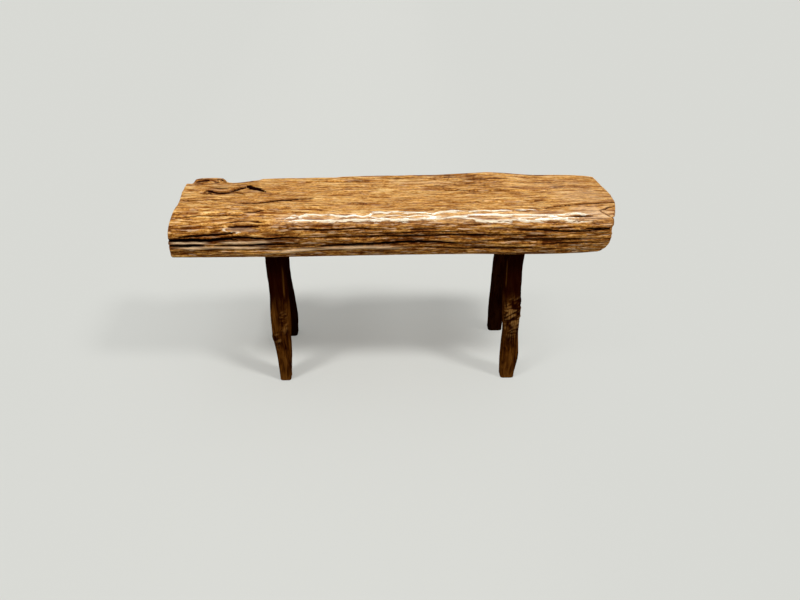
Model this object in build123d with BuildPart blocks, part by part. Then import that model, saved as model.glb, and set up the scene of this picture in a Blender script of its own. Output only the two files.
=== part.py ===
from build123d import *
import os
from collections import namedtuple
from math import cos, radians, sin, tan

# Rustic log bench: a seat slab hewn from one log, on four splayed legs.
# Each leg's tenon sits blind in the underside, spread by a fox wedge in its kerf.
# Millimetres. +X along the log, +Y to the back, +Z up, origin on the floor below the middle.

# Seat slab
LENGTH = 1086
UNDERSIDE = 348
TOP = 447
BACK_FILLET = 10
BACK_BULGE = 3
BACK_UNDERCUT = 14
FRONT_UNDERCUT = 9
BULGE_HEIGHT = 388
BULGE_FILLET = 40
CROWN_FILLET = 90
UNDER_FRONT_FILLET = 15
UNDER_BACK_FILLET = 22
TOE_SKEW = 0.23
BACK_MIDDLE = 147.8
BACK_SKEW = 0.0574

# Knot, ledge, knot hole and waney notch in the far left corner
KNOT_X, KNOT_Y = -486, 121
KNOT_RISE = 6
LEDGE_RISE = 3.5
LEDGE_WIDTH = 58
HOLE_DEPTH = 44
NOTCH_GAP = 100
NOTCH_LEAN = 0.25

# Drying checks and worn hollows: width of the root as a share of the gap at the surface, the
# least height over the surface at which their cutters start, and the planes their depths on
# the front are measured from
CHECK_ROOT = 0.2
CHECK_LIFT = 8
FRONT_CHECK_FACE = 160
FRONT_HOLLOW_FACE = 161.5

# Blank past the finished ends, reach of cutters past the faces, and their start above a face
BLANK_OVERHANG = 20
CUTTER_REACH = 220
CUTTER_LIFT = 4

# Legs and joints
HOUSING = 8
SHOULDER = UNDERSIDE + HOUSING
LEG_CORNER = 9
KNOT_RINGS = 3
KNOT_RING_TURN = 25
TENON_LENGTH = 58
TENON_WIDTH = 32
TENON_DEPTH = 28
TENON_SPREAD = 3.5
KERF = 1.6
WEDGE_LENGTH = 44
SOLE_CHAMFER = 3

SeatStation = namedtuple("SeatStation", "back front slope drop shoulder")
LegStation = namedtuple("LegStation", "left right depth")
Knot = namedtuple("Knot", "x y z height radius")
Leg = namedtuple("Leg", "name top_y splay knots stations")
Check = namedtuple("Check", "start end gap depth")

# The hewn blank at even steps from left to right: reach to the back and front, width and drop
# of the worn slope along the front edge, and the radius of the shoulder below it
SEAT_STATIONS = [
    SeatStation(134, -161, 88, 22, 38),
    SeatStation(134, -163, 86, 20, 37),
    SeatStation(133, -163, 80, 18, 35),
    SeatStation(132, -165, 72, 15, 32),
    SeatStation(138, -164, 66, 13, 29),
    SeatStation(146, -162, 62, 12, 27),
    SeatStation(147, -161, 60, 11, 26),
    SeatStation(153, -160, 58, 11, 26),
    SeatStation(161, -161, 58, 11, 26),
    SeatStation(165, -164, 60, 12, 27),
    SeatStation(146, -165, 62, 13, 28),
    SeatStation(134, -162, 62, 13, 28),
    SeatStation(123, -158, 64, 15, 28),
]

# Each leg at even steps from its housing to its sole; front legs lean forward, rear legs back
LEGS = [
    Leg(
        "front_left",
        -104.5,
        -5.7,
        [Knot(-311, -128, 119, 13, 7)],
        [
            LegStation(-323, -272, 46),
            LegStation(-321, -272, 45),
            LegStation(-318, -272, 46),
            LegStation(-319, -270, 45),
            LegStation(-316, -271, 44),
            LegStation(-308, -272, 43),
            LegStation(-303, -274, 41),
        ],
    ),
    Leg(
        "front_right",
        -104.5,
        -6.2,
        [Knot(297, -134, 184, 46, 16)],
        [
            LegStation(267, 317, 46),
            LegStation(267, 312, 45),
            LegStation(267, 311, 46),
            LegStation(268, 309, 45),
            LegStation(269, 309, 44),
            LegStation(267, 312, 43),
            LegStation(266, 302, 40),
        ],
    ),
    Leg(
        "rear_left",
        76,
        1.8,
        [],
        [
            LegStation(-329, -285, 46),
            LegStation(-329, -285, 45),
            LegStation(-330, -287, 45),
            LegStation(-329, -286, 46),
            LegStation(-323, -279, 46),
            LegStation(-318, -273, 44),
            LegStation(-314, -275, 42),
        ],
    ),
    Leg(
        "rear_right",
        81,
        3.5,
        [Knot(285, 77, 175, 14, 10)],
        [
            LegStation(272, 316, 46),
            LegStation(272, 315, 45),
            LegStation(270, 313, 46),
            LegStation(267, 312, 45),
            LegStation(266, 310, 45),
            LegStation(264, 307, 43),
            LegStation(263, 303, 41),
        ],
    ),
]

# Drying checks as start, end, gap at the surface and depth: in x and z on the front, and in
# x and y on the top
FRONT_CHECKS = [
    Check((-610, 418), (-436, 400), 9, 28),
    Check((-486, 401), (-340, 409), 8, 22),
    Check((-344, 405), (-215, 400), 5, 14),
    Check((-590, 392), (-462, 394), 8, 26),
    Check((-225, 385), (112, 390), 8, 28),
    Check((250, 419), (560, 425), 5, 24),
]
TOP_CHECKS = [
    Check((-490, 23), (-385, 27), 5, 10),
    Check((-336, -56), (-240, -18), 4, 12),
    Check((436, -84), (570, -62), 5, 22),
    Check((430, -134), (480, -138), 5, 22),
]

# Hollows worn along the softer grain on the front, on the top and on the back, where runs are
# measured from the middle towards the left end
FRONT_HOLLOWS = [
    Check((-240, 403), (330, 405), 13, 5),
    Check((180, 390), (480, 392), 11, 5),
    Check((-500, 369), (-270, 370), 9, 3),
    Check((-120, 364), (330, 366), 9, 2),
]
TOP_HOLLOWS = [
    Check((-300, 92), (30, 108), 12, 4),
    Check((30, 28), (430, 18), 12, 4),
    Check((-430, -74), (-120, -86), 11, 4),
    Check((80, -58), (400, -48), 11, 4),
]
BACK_HOLLOWS = [
    Check((-60, 402), (230, 400), 13, 5),
    Check((-290, 377), (60, 379), 12, 5),
    Check((-300, 424), (-20, 422), 10, 5),
]

# Smooth scar on the front shoulder: its middle, the slope it lies on, and its size there
SCAR_MIDDLE = (-366, -149.5, 429)
SCAR_SLOPE = (0, -0.66, 0.75)
SCAR = Check((-46, 0), (46, 0), 28, 4)


def seat_section(x, station):
    """Hewn section across the log: flat top, worn front shoulder, undercut faces"""
    corners = {
        (station.back - BACK_BULGE, TOP): BACK_FILLET,
        (station.front + station.slope, TOP): CROWN_FILLET,
        (station.front + 3, TOP - station.drop): station.shoulder,
        (station.front, BULGE_HEIGHT): BULGE_FILLET,
        (station.front + FRONT_UNDERCUT, UNDERSIDE): UNDER_FRONT_FILLET,
        (station.back - BACK_UNDERCUT, UNDERSIDE): UNDER_BACK_FILLET,
        (station.back, BULGE_HEIGHT): BULGE_FILLET,
    }
    with BuildSketch(Plane.YZ.offset(x)) as section:
        with BuildLine():
            Polyline(*corners, close=True)
        make_face()
        for corner, radius in corners.items():
            fillet(section.vertices().sort_by_distance(corner)[0], radius)
    return section.sketch


def lens(plane, start, end, gap):
    """Pointed opening of a drying check, from its start to its end on the given plane"""
    run = Vector(*end) - Vector(*start)
    middle = (Vector(*start) + Vector(*end)) * 0.5
    side = Vector(-run.Y, run.X).normalized() * (gap / 2)
    with BuildSketch(plane) as opening:
        with BuildLine():
            ThreePointArc(start, middle + side, end)
            ThreePointArc(end, middle - side, start)
        make_face()
    return opening.sketch


def weather_cuts(plane, checks):
    """Checks or hollows that close with depth, each cut from outside the given plane"""
    for check in checks:
        lift = max(check.depth / 2, CHECK_LIFT)
        flare = CHECK_ROOT + (1 - CHECK_ROOT) * (1 + lift / check.depth)
        mouth = lens(plane.offset(lift), check.start, check.end, flare * check.gap)
        root = lens(plane.offset(-check.depth), check.start, check.end, CHECK_ROOT * check.gap)
        loft([mouth, root], mode=Mode.SUBTRACT)


def slot_at(x, y, z, length, width):
    """Level outline with round ends, along the log"""
    with BuildSketch(Plane((x, y, z))) as outline:
        SlotOverall(length, width)
    return outline.sketch


def leg_section(leg, z, station):
    """Level section of a leg, squared with its corners hewn off, moved along its splay"""
    x = (station.left + station.right) / 2
    y = leg.top_y + (SHOULDER - z) * tan(radians(leg.splay))
    with BuildSketch(Plane((x, y, z))) as section:
        Rectangle(station.right - station.left, station.depth)
        chamfer(section.vertices(), LEG_CORNER)
    return section.sketch


def worn_sole(station):
    """Station with its arrises worn in by the sole's chamfer"""
    return LegStation(
        station.left + SOLE_CHAMFER, station.right - SOLE_CHAMFER, station.depth - 2 * SOLE_CHAMFER
    )


def knot_bulge(knot):
    """Swelling along a leg's grain: level rings that follow half an ellipse"""
    rings = []
    for index in range(-KNOT_RINGS, KNOT_RINGS + 1):
        turn = radians(index * KNOT_RING_TURN)
        with BuildSketch(Plane((knot.x, knot.y, knot.z + knot.height * sin(turn)))) as ring:
            Circle(knot.radius * cos(turn))
        rings.append(ring.sketch)
    with BuildPart() as bulge:
        loft(rings, ruled=True)
    return bulge.part


def seating(leg):
    """Plane of a leg's tenon: on the shoulder's centre, looking up along the splay"""
    top = leg.stations[0]
    origin = ((top.left + top.right) / 2, leg.top_y, SHOULDER)
    return Plane(origin, x_dir=(1, 0, 0), z_dir=(0, -tan(radians(leg.splay)), 1))


def spread_tenon(plane):
    """Tenon and wedge together, as they fill the flared mortise"""
    with BuildPart() as tenon:
        with BuildSketch(plane.offset(-HOUSING)):
            Rectangle(TENON_WIDTH, TENON_DEPTH)
        with BuildSketch(plane.offset(TENON_LENGTH)):
            Rectangle(TENON_WIDTH + 2 * TENON_SPREAD, TENON_DEPTH)
        loft()
    return tenon.part


def fox_wedge(plane):
    """Wedge in the tenon's kerf, thick end flush with the tenon's end"""
    along = Plane(plane.origin, x_dir=plane.x_dir, z_dir=-plane.y_dir)
    root = TENON_LENGTH - WEDGE_LENGTH
    tip = KERF / 2
    butt = tip + TENON_SPREAD
    with BuildPart() as wedge:
        with BuildSketch(along):
            with BuildLine():
                Polyline(
                    (-tip, root),
                    (tip, root),
                    (butt, TENON_LENGTH),
                    (-butt, TENON_LENGTH),
                    close=True,
                )
            make_face()
        extrude(amount=TENON_DEPTH / 2, both=True)
    return wedge.part


# Legs and their wedges
shafts = {}
tenons = {}
legs = {}
wedges = {}
for leg in LEGS:
    with BuildPart() as shaft:
        step = SHOULDER / (len(leg.stations) - 1)
        sections = [
            leg_section(leg, max(SHOULDER - index * step, SOLE_CHAMFER), station)
            for index, station in enumerate(leg.stations)
        ]
        loft([*sections, leg_section(leg, 0, worn_sole(leg.stations[-1]))], ruled=True)
        for knot in leg.knots:
            add(knot_bulge(knot))
    shafts[leg.name] = shaft.part
    tenons[leg.name] = spread_tenon(seating(leg))
    wedges[leg.name] = fox_wedge(seating(leg))
    with BuildPart() as jointed_leg:
        add(shafts[leg.name])
        add(tenons[leg.name])
        add(wedges[leg.name], mode=Mode.SUBTRACT)
    legs[leg.name] = jointed_leg.part

# Seat slab
with BuildPart() as seat_log:
    step = (LENGTH + 2 * BLANK_OVERHANG) / (len(SEAT_STATIONS) - 1)
    loft(
        [
            seat_section(-LENGTH / 2 - BLANK_OVERHANG + index * step, station)
            for index, station in enumerate(SEAT_STATIONS)
        ],
        ruled=True,
    )

    # Sawn and worn ends, seen from above
    with BuildSketch(Plane.XY.offset(UNDERSIDE - CUTTER_LIFT)):
        with BuildLine():
            right_end = Spline(
                (521, 132), (528, 98), (538, 20), (543, -24), (537, -70), (526, -112), (510, -165)
            )
            left_end = Spline(
                (-536, -165), (-541, -100), (-537, -40), (-541, 30), (-543, 72), (-538, 110), (-520, 136)
            )
            Polyline(right_end @ 1, (510, -CUTTER_REACH), (-536, -CUTTER_REACH), left_end @ 0)
            Polyline(left_end @ 1, (-505, CUTTER_REACH), (521, CUTTER_REACH), right_end @ 0)
        make_face()
    extrude(amount=2 * (TOP - UNDERSIDE), mode=Mode.INTERSECT)

    # Underside rising towards the right end, seen from the front
    with BuildSketch(Plane.XZ):
        with BuildLine():
            rise = Spline((330, UNDERSIDE), (450, 354), (560, 364), tangents=[(1, 0), (1, 0.1)])
            Line((-560, UNDERSIDE), rise @ 0)
            Polyline(rise @ 1, (560, 2 * TOP), (-560, 2 * TOP), (-560, UNDERSIDE))
        make_face()
    extrude(amount=CUTTER_REACH, both=True, mode=Mode.INTERSECT)

    # Toe worn away below the right end's near corner
    with BuildSketch(Plane((512, -165, 0), x_dir=(1, -TOE_SKEW, 0), z_dir=(-TOE_SKEW, -1, 0))):
        with BuildLine():
            toe = ThreePointArc((-55, 349), (-14, 370), (2, 410))
            Polyline(toe @ 1, (60, 410), (60, 340), (-55, 340), toe @ 0)
        make_face()
    extrude(amount=2 * CUTTER_REACH, both=True, mode=Mode.SUBTRACT)

    # Waney notch in the back edge, leaning outwards as it goes down
    mouth = Plane((0, 0, TOP + CUTTER_LIFT), x_dir=(1, 0, 0), z_dir=(0, -NOTCH_LEAN, 1))
    notch = lens(mouth, (-470, 150), (-335, 150), NOTCH_GAP)
    extrude(notch, amount=-CUTTER_REACH, mode=Mode.SUBTRACT)

    # Knot swelling over the far left corner
    loft(
        [
            slot_at(KNOT_X, KNOT_Y - 14, TOP - 54, 36, 20),
            slot_at(KNOT_X, KNOT_Y - 4, TOP - 34, 72, 44),
            slot_at(KNOT_X, KNOT_Y, TOP - 14, 88, 52),
            slot_at(KNOT_X, KNOT_Y - 2, TOP - 1, 80, 42),
            slot_at(KNOT_X, KNOT_Y - 5, TOP + KNOT_RISE, 52, 20),
        ],
        ruled=True,
    )

    # Layer standing proud along the ledge in front of the knot
    loft(
        [
            lens(Plane.XY.offset(TOP - CUTTER_LIFT), (-512, 42), (-352, 74), LEDGE_WIDTH),
            lens(Plane.XY.offset(TOP + LEDGE_RISE), (-508, 43), (-356, 73), LEDGE_WIDTH - 4),
        ]
    )

    # Knot hole, wide at the mouth
    loft(
        [
            lens(Plane.XY.offset(TOP + CUTTER_LIFT), (-380, 62), (-326, 25), 26),
            lens(Plane.XY.offset(TOP - HOLE_DEPTH), (-366, 52), (-338, 33), 10),
        ],
        mode=Mode.SUBTRACT,
    )

    # Drying checks and worn hollows
    back_face = Plane((0, BACK_MIDDLE, 0), x_dir=(-1, -BACK_SKEW, 0), z_dir=(-BACK_SKEW, 1, 0))
    shoulder_face = Plane(SCAR_MIDDLE, x_dir=(1, 0, 0), z_dir=SCAR_SLOPE)
    weather_cuts(Plane.XZ.offset(FRONT_CHECK_FACE), FRONT_CHECKS)
    weather_cuts(Plane.XZ.offset(FRONT_HOLLOW_FACE), FRONT_HOLLOWS)
    weather_cuts(Plane.XY.offset(TOP), TOP_CHECKS + TOP_HOLLOWS)
    weather_cuts(back_face, BACK_HOLLOWS)
    weather_cuts(shoulder_face, [SCAR])

    # Housings and flared mortises in the underside
    for leg in LEGS:
        add(shafts[leg.name], mode=Mode.SUBTRACT)
        add(tenons[leg.name], mode=Mode.SUBTRACT)

seat_log.part.label = "seat_log"

os.makedirs("parts", exist_ok=True)
export_step(seat_log.part, "parts/seat_log.step")
for leg in LEGS:
    legs[leg.name].label = "leg_" + leg.name
    wedges[leg.name].label = "wedge_" + leg.name
    export_step(legs[leg.name], "parts/leg_" + leg.name + ".step")
    export_step(wedges[leg.name], "parts/wedge_" + leg.name + ".step")
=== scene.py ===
"""Rustic log bench: a weathered hewn log on four dark hewn legs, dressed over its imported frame."""

import bpy
import numpy as np
from bpy.props import (
    FloatProperty,
    FloatVectorProperty,
    IntProperty,
    PointerProperty,
)
from bpy.types import Operator, Panel, PropertyGroup
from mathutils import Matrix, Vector


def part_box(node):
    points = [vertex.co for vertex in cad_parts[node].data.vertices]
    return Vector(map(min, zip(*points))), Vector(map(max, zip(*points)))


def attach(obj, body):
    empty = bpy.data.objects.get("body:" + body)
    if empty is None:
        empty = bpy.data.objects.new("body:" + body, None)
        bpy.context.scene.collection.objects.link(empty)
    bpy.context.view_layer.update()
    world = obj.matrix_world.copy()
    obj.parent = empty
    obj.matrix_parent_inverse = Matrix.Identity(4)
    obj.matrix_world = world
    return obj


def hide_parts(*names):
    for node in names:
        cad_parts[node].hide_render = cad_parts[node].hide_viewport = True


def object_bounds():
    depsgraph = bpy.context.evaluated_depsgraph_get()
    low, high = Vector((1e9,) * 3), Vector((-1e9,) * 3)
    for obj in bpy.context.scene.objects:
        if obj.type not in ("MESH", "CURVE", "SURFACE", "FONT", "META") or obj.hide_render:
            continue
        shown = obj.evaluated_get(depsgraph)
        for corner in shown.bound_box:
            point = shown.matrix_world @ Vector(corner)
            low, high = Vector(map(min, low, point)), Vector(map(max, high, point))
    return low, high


bl_info = {
    "name": "Rustic Log Bench",
    "version": (1, 0, 0),
    "blender": (4, 5, 0),
    "location": "View3D > Sidebar > Log Bench",
    "description": "Builds the weathered log seat, the hewn legs and a plain studio",
    "category": "Add Mesh",
}

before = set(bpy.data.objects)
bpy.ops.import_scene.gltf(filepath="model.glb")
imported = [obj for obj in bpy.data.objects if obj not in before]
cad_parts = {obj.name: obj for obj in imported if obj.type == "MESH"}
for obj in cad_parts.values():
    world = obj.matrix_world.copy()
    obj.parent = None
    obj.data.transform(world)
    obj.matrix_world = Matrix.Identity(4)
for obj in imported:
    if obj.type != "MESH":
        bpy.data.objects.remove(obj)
CAD_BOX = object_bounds()

MM = 0.001
LATTICE = 256
BODY = "root"

# Seat slab, as hewn, in millimetres; the names are those of the solid
LENGTH = 1086
UNDERSIDE = 348
TOP = 447
BACK_FILLET = 10
BACK_BULGE = 3
BACK_UNDERCUT = 14
FRONT_UNDERCUT = 9
FRONT_LEAN = 3
BULGE_HEIGHT = 388
BULGE_FILLET = 40
CROWN_FILLET = 90
UNDER_FRONT_FILLET = 10
UNDER_BACK_FILLET = 22
BLANK_OVERHANG = 20
TOE_SKEW = 0.23
TOE_START = (512, -165)

# Reach to the back and front, width and drop of the worn slope, radius of the shoulder
SEAT_STATIONS = np.array(
    [
        (134, -161, 88, 22, 38),
        (134, -163, 86, 20, 37),
        (133, -163, 80, 18, 35),
        (132, -165, 72, 15, 32),
        (138, -164, 66, 13, 29),
        (146, -162, 62, 12, 27),
        (147, -161, 60, 11, 26),
        (153, -160, 58, 11, 26),
        (161, -161, 58, 11, 26),
        (165, -164, 60, 12, 27),
        (146, -165, 62, 13, 28),
        (134, -162, 62, 13, 28),
        (123, -158, 64, 15, 28),
    ],
    float,
)
# Outline of the sawn ends from above, as (y, x)
RIGHT_END = np.array(
    [(-165, 510), (-147, 516), (-112, 527), (-70, 537), (-24, 542), (20, 538), (55, 532), (98, 528),
     (132, 521)],
    float,
)
LEFT_END = np.array(
    [(-165, -543), (-145, -542), (-119, -542), (-92, -541), (-62, -537), (-32, -536), (-2, -539),
     (40, -542), (83, -542), (105, -540), (127, -526), (140, -516)],
    float,
)
# Underside's rise and the worn toe, as (x, z) and (z, distance from the skewed end line)
UNDER_RISE = np.array([(-560, 348), (330, 348), (400, 349), (450, 351), (560, 359)], float)
TOE = np.array(
    [(349.0, -42.0), (351.6, -31.0), (356.8, -20.0), (364.3, -10.5), (373.8, -4.2), (384.9, 0.4),
     (397.1, 2.5), (410.0, 4.0)],
    float,
)

# Samples round the log, from the low back corner up the back, over the top and down the front
AROUND = (
    ("arc", 0, 6),
    ("run", 0, 20),
    ("arc", 1, 4),
    ("run", 1, 14),
    ("arc", 2, 8),
    ("run", 2, 84),
    ("arc", 3, 8),
    ("run", 3, 18),
    ("arc", 4, 26),
    ("run", 4, 26),
    ("arc", 5, 8),
    ("run", 5, 28),
    ("arc", 6, 8),
    ("run", 6, 14),
)
BODY_RINGS = 318
END_SPLITS = 14
END_ROUNDING = 4.5
END_TURNS = (0, 18, 36, 54, 72)
CAP_RINGS = 14

# Ragged near edge of the right end, split along lines that fall towards the back: (height where
# the line meets the front face, distance outwards)
RAGGED_END = (
    (380, 0), (390, 2.0), (393, -0.8), (395.5, -2.2), (398.5, 0.8), (401, 0.6), (403, -4.4),
    (407, -2.2), (412, -2.6), (417, -2.4), (422, 1.5), (429, 2.2), (436, 0.6), (439, 0),
    (441, -4.0), (444.5, -4.6), (447, 2.0), (451, 1.8), (455, 4.4), (458, 4.2), (460, 0.8),
    (464, 4.2), (476, 4.2), (489, 3.0), (500, 0),
)
RAGGED_FALL = 0.42
# Slight rises and falls along the top's back edge: (x, height)
BACK_SWELL = (
    (-340, 0), (-315, 1.2), (-280, 1.4), (-250, 0.6), (-200, 0.3), (-170, -0.8), (-155, -1.6),
    (-140, -0.2), (-110, 0.3), (-60, 1.2), (-40, 1.8), (0, 1.6), (40, 1.5), (65, 0.6), (100, 0.2),
    (160, 0.2), (190, 1.0), (220, 1.8), (240, 2.4), (265, 1.6), (290, 0.5), (320, -0.8),
    (370, -0.8), (400, 0), (440, 1.0), (480, 1.8), (500, 2.2), (520, 0.4), (540, 0),
)

# Drying checks as (x, height or depth) paths with half width and depth at the middle, millimetres
FRONT_CHECKS = (
    (((-522, 404), (-510, 406), (-483, 409), (-460, 409), (-438, 411), (-423, 412), (-403, 413),
      (-378, 417)), 2.2, 8),
    (((-575, 397), (-529, 397), (-510, 398), (-487, 399), (-464, 397), (-440, 398), (-423, 400), (-399, 401),
      (-374, 397)), 4.0, 14),
    (((-565, 384), (-528, 384), (-492, 383), (-455, 385)), 3.4, 12),
    (((-408, 402), (-378, 404), (-351, 404), (-332, 402), (-314, 401), (-266, 405), (-222, 403)), 2.2, 9),
    (((-440, 384), (-424, 385), (-381, 383), (-354, 384), (-334, 385), (-266, 387), (-225, 388)), 2.2, 8),
    (((-402, 427), (-376, 429), (-352, 429), (-324, 428)), 1.6, 4),
    (((-200, 380), (-124, 382), (-65, 384), (6, 387), (54, 388), (102, 386), (150, 381)), 3.4, 15),
    (((280, 416), (346, 417), (387, 413), (423, 412), (448, 412), (475, 414), (492, 413)), 1.9, 7),
    (((446, 418), (457, 418), (474, 417), (490, 416), (508, 416), (590, 415)), 2.2, 10),
    (((-268, 425), (-180, 421), (-96, 424), (-20, 420)), 1.2, 4),
    (((-40, 405), (60, 402), (150, 406), (236, 401)), 1.3, 5),
    (((60, 372), (170, 369), (280, 372), (360, 369)), 1.5, 5),
    (((250, 395), (350, 392), (438, 395)), 1.2, 4),
    (((-110, 414), (-20, 411), (90, 414), (190, 411)), 1.0, 3),
    (((330, 380), (420, 383), (510, 381)), 1.1, 3),
)
TOP_CHECKS = (
    (((-392, -50), (-340, -49), (-328, -43), (-304, -34), (-275, -28), (-243, -25), (-200, -22)), 4.3, 6),
    (((-575, -22), (-533, -22), (-509, -27), (-482, -28), (-430, -21)), 2.0, 5),
    (((-545, -113), (-502, -113), (-475, -108), (-443, -110), (-416, -109), (-368, -109)), 1.2, 3),
    (((-370, -99), (-345, -99), (-335, -95), (-318, -92)), 2.0, 4),
    (((-406, -139), (-377, -134), (-351, -133), (-339, -139), (-316, -143)), 1.5, 3),
    (((356, -96), (368, -94), (400, -84), (433, -77), (460, -71), (511, -67), (580, -64)), 2.8, 7),
    (((415, -135), (444, -134), (472, -134)), 2.5, 9),
    (((488, -110), (504, -106), (516, -97), (540, -86)), 1.6, 4),
    (((489, -111), (503, -128), (512, -138)), 1.6, 4),
    (((-476, 31), (-463, 28), (-451, 22), (-433, 19), (-420, 25), (-409, 38), (-397, 48),
      (-374, 62)), 4.5, 6),
    (((-422, 22), (-405, 26), (-392, 17), (-376, 5)), 2.2, 4),
    (((-521, 98), (-517, 111), (-513, 119), (-504, 128)), 3.2, 2),
    (((-519, 101), (-504, 101), (-492, 102), (-483, 105), (-476, 114)), 4.2, 2),
    (((-476, 104), (-466, 95), (-455, 96)), 2.6, 2),
    (((-466, 111), (-454, 114), (-447, 109), (-437, 95)), 3.4, 2),
    (((-486, 28), (-478, 38), (-468, 35), (-456, 28)), 3.0, 2),
    (((-477, 8), (-472, 22), (-466, 21), (-459, 7)), 2.6, 2),
    (((-506, 52), (-479, 56), (-451, 46), (-433, 45), (-404, 50)), 2.0, 2),
    (((96, 64), (170, 58), (240, 62)), 1.0, 3),
    (((300, 84), (380, 78), (470, 84)), 1.1, 3),
    (((-60, 118), (30, 122), (100, 118)), 1.0, 3),
    (((180, 112), (226, 109), (262, 113), (300, 110)), 1.4, 3),
)
# Hollows worn along the softer grain: start, end, widest gap and depth of straight runs, cut from a
# plane this far in front of the middle, or this far behind it and skewed
FRONT_PLANE = 161.5
BACK_PLANE = 147.8
BACK_SKEW = 0.0574
FRONT_HOLLOWS = (
    ((-240, 403), (330, 405), 13, 5),
    ((180, 390), (480, 392), 11, 5),
    ((-500, 369), (-270, 370), 9, 3),
    ((-120, 364), (330, 366), 9, 2),
)
TOP_HOLLOWS = (
    ((-300, 92), (30, 108), 12, 4),
    ((30, 28), (430, 18), 12, 4),
    ((-430, -74), (-120, -86), 11, 4),
    ((80, -58), (400, -48), 11, 4),
)
BACK_HOLLOWS = (
    ((-230, 400), (60, 402), 13, 5),
    ((-60, 379), (290, 377), 12, 5),
    ((20, 422), (300, 424), 10, 5),
)
# Knots that part the grain on the top: (x, y, radius); the first is the swelling at the far left
TOP_KNOTS = ((-482, 112, 34), (-478, 20, 9), (-94, -60, 9), (-161, 51, 7), (-102, 98, 10),
             (417, 42, 10), (245, 58, 7))
# Terraced lump on the swelling: middle, half length, half width and rise
LUMP = (-482, 114, 46, 33, 5.6)
LUMP_LAYERS = 3
# Ledge beside the knot hole: (x, y) of its line, and its rise
LEDGE_RISE = 3.5
LEDGE = ((-500, 36), (-474, 35), (-451, 23), (-431, 21), (-412, 36), (-396, 47), (-376, 58),
         (-340, 88))
# Knot hole: (x, y) of its middle line
HOLE = ((-382, 63), (-369, 57), (-359, 51), (-344, 43), (-330, 30))
HOLE_HALF_WIDTH = 10.5
HOLE_DEPTH = 26
# Notch: middle and radius of its arc at the top (x, y, radius), and its lean outwards going down
NOTCH = (-406, 163.5, 70.6)
NOTCH_LEAN = 0.25
# Swelling over the far left corner as (z, y, half length, half width) of its round-ended rings
SWELLING_X = -486
SWELLING = ((393, 107, 18, 10), (413, 117, 36, 22), (433, 121, 44, 26), (446, 119, 40, 21),
            (453, 116, 26, 10))
# The back is drawn in or out in proportion to each point's distance past this y
REACH_START = 60
# Round scar in the front: x and height of its middle, half length and half width
SCAR = (-366, 422, 44, 6)
# Stained and bleached patches on the top: (x, y, half length, half width, weight)
STAINS = (
    (185, 122, 110, 20, 0.55), (262, 116, 40, 9, 0.8), (-99, 106, 54, 10, 0.7),
    (-425, 20, 60, 12, 0.45), (-512, 96, 30, 30, 0.4), (418, 42, 26, 10, 0.7),
    (-94, -60, 26, 14, 0.45), (-161, 51, 20, 9, 0.5), (-330, -30, 60, 14, 0.3),
    (225, 10, 90, 30, 0.3), (-478, 22, 13, 10, 0.9),
)
BLEACHED = (
    (470, -112, 62, 34, 0.7), (465, -20, 90, 70, 0.35), (400, 60, 130, 46, 0.2),
    (350, -122, 60, 14, 0.5), (60, 84, 120, 14, 0.3), (-440, 74, 40, 10, 0.4),
    (-491, 28, 7, 6, 0.9), (-352, -104, 18, 6, 0.9), (-352, 30, 22, 7, 0.6),
    (-440, 34, 34, 5, 0.6), (-392, -82, 16, 5, 0.6),
)
# Darker brown patches round the checks low in the front: (x, height, half length, half width, weight)
FRONT_STAINS = ((-480, 396, 84, 10, 0.75), (-395, 402, 70, 7, 0.5), (-250, 396, 90, 9, 0.4))
# Cells of the weathering's noise along and across the grain, and their seeds: slow swell,
# strand, rib and fibre
WEATHERING = ((240, 85, 31), (130, 17, 32), (64, 8, 33), (36, 4, 34))
# Hairline splits: spacing, half width and seed of the torn and of the fine ones
TORN = (19, 3.4, 36)
FINE = (8.5, 1.9, 38)
# The front face lies past this y at its bulge, the low front past the other
FRONT_FACE = -120
LOW_FRONT = -100
BACK_FACE = 100
# Rise of the polished strands, depth of the chipped corner and of the scar
STRAND_RISE = 1.5
CHIP_DEPTH = 9
SCAR_DEPTH = 3.0
# Pith of the log in the ends, as (y, height)
PITH = (-10, 396)
# Polished strands on the shoulder, raised and painted with a highlight: (x, y) path and half width
STRANDS = (
    (((-275, -138), (-268, -130), (-243, -120), (-235, -127), (-217, -119), (-180, -121),
      (-160, -120), (-140, -126), (-122, -130), (-102, -123), (-82, -130), (-67, -126),
      (-58, -114), (-42, -112), (-26, -116), (-12, -110), (20, -114), (67, -117), (86, -122),
      (111, -114), (138, -112), (169, -113)), 8.0),
    (((-273, -138), (-267, -143), (-249, -144), (-230, -140), (-191, -143), (-166, -145),
      (-139, -146), (-115, -142), (-92, -141), (-72, -143), (-47, -145), (-24, -142), (-5, -145),
      (19, -144), (62, -140), (97, -140), (126, -137),
      (145, -133), (167, -131), (190, -127), (218, -127), (254, -130), (294, -128), (322, -131), (354, -130),
      (385, -131), (412, -128), (427, -126), (451, -128), (464, -133), (486, -142)), 8.5),
    (((-72, -128), (-59, -134), (-42, -138), (-27, -128), (-3, -126), (19, -134), (44, -128),
      (72, -128), (92, -134), (112, -138)), 6.5),
    (((148, -133), (171, -141), (189, -146), (216, -151), (243, -151), (270, -150), (292, -147), (313, -151),
      (339, -148), (365, -145), (390, -147), (420, -151), (443, -152), (480, -154)), 8.0),
    (((100, -116), (169, -113), (210, -111), (247, -111), (298, -107), (340, -108)), 5.0),
    (((270, -138), (310, -141), (350, -138), (400, -141), (440, -143)), 5.0),
    (((-270, -137), (-259, -131), (-245, -129), (-236, -125)), 5.0),
)
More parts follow.
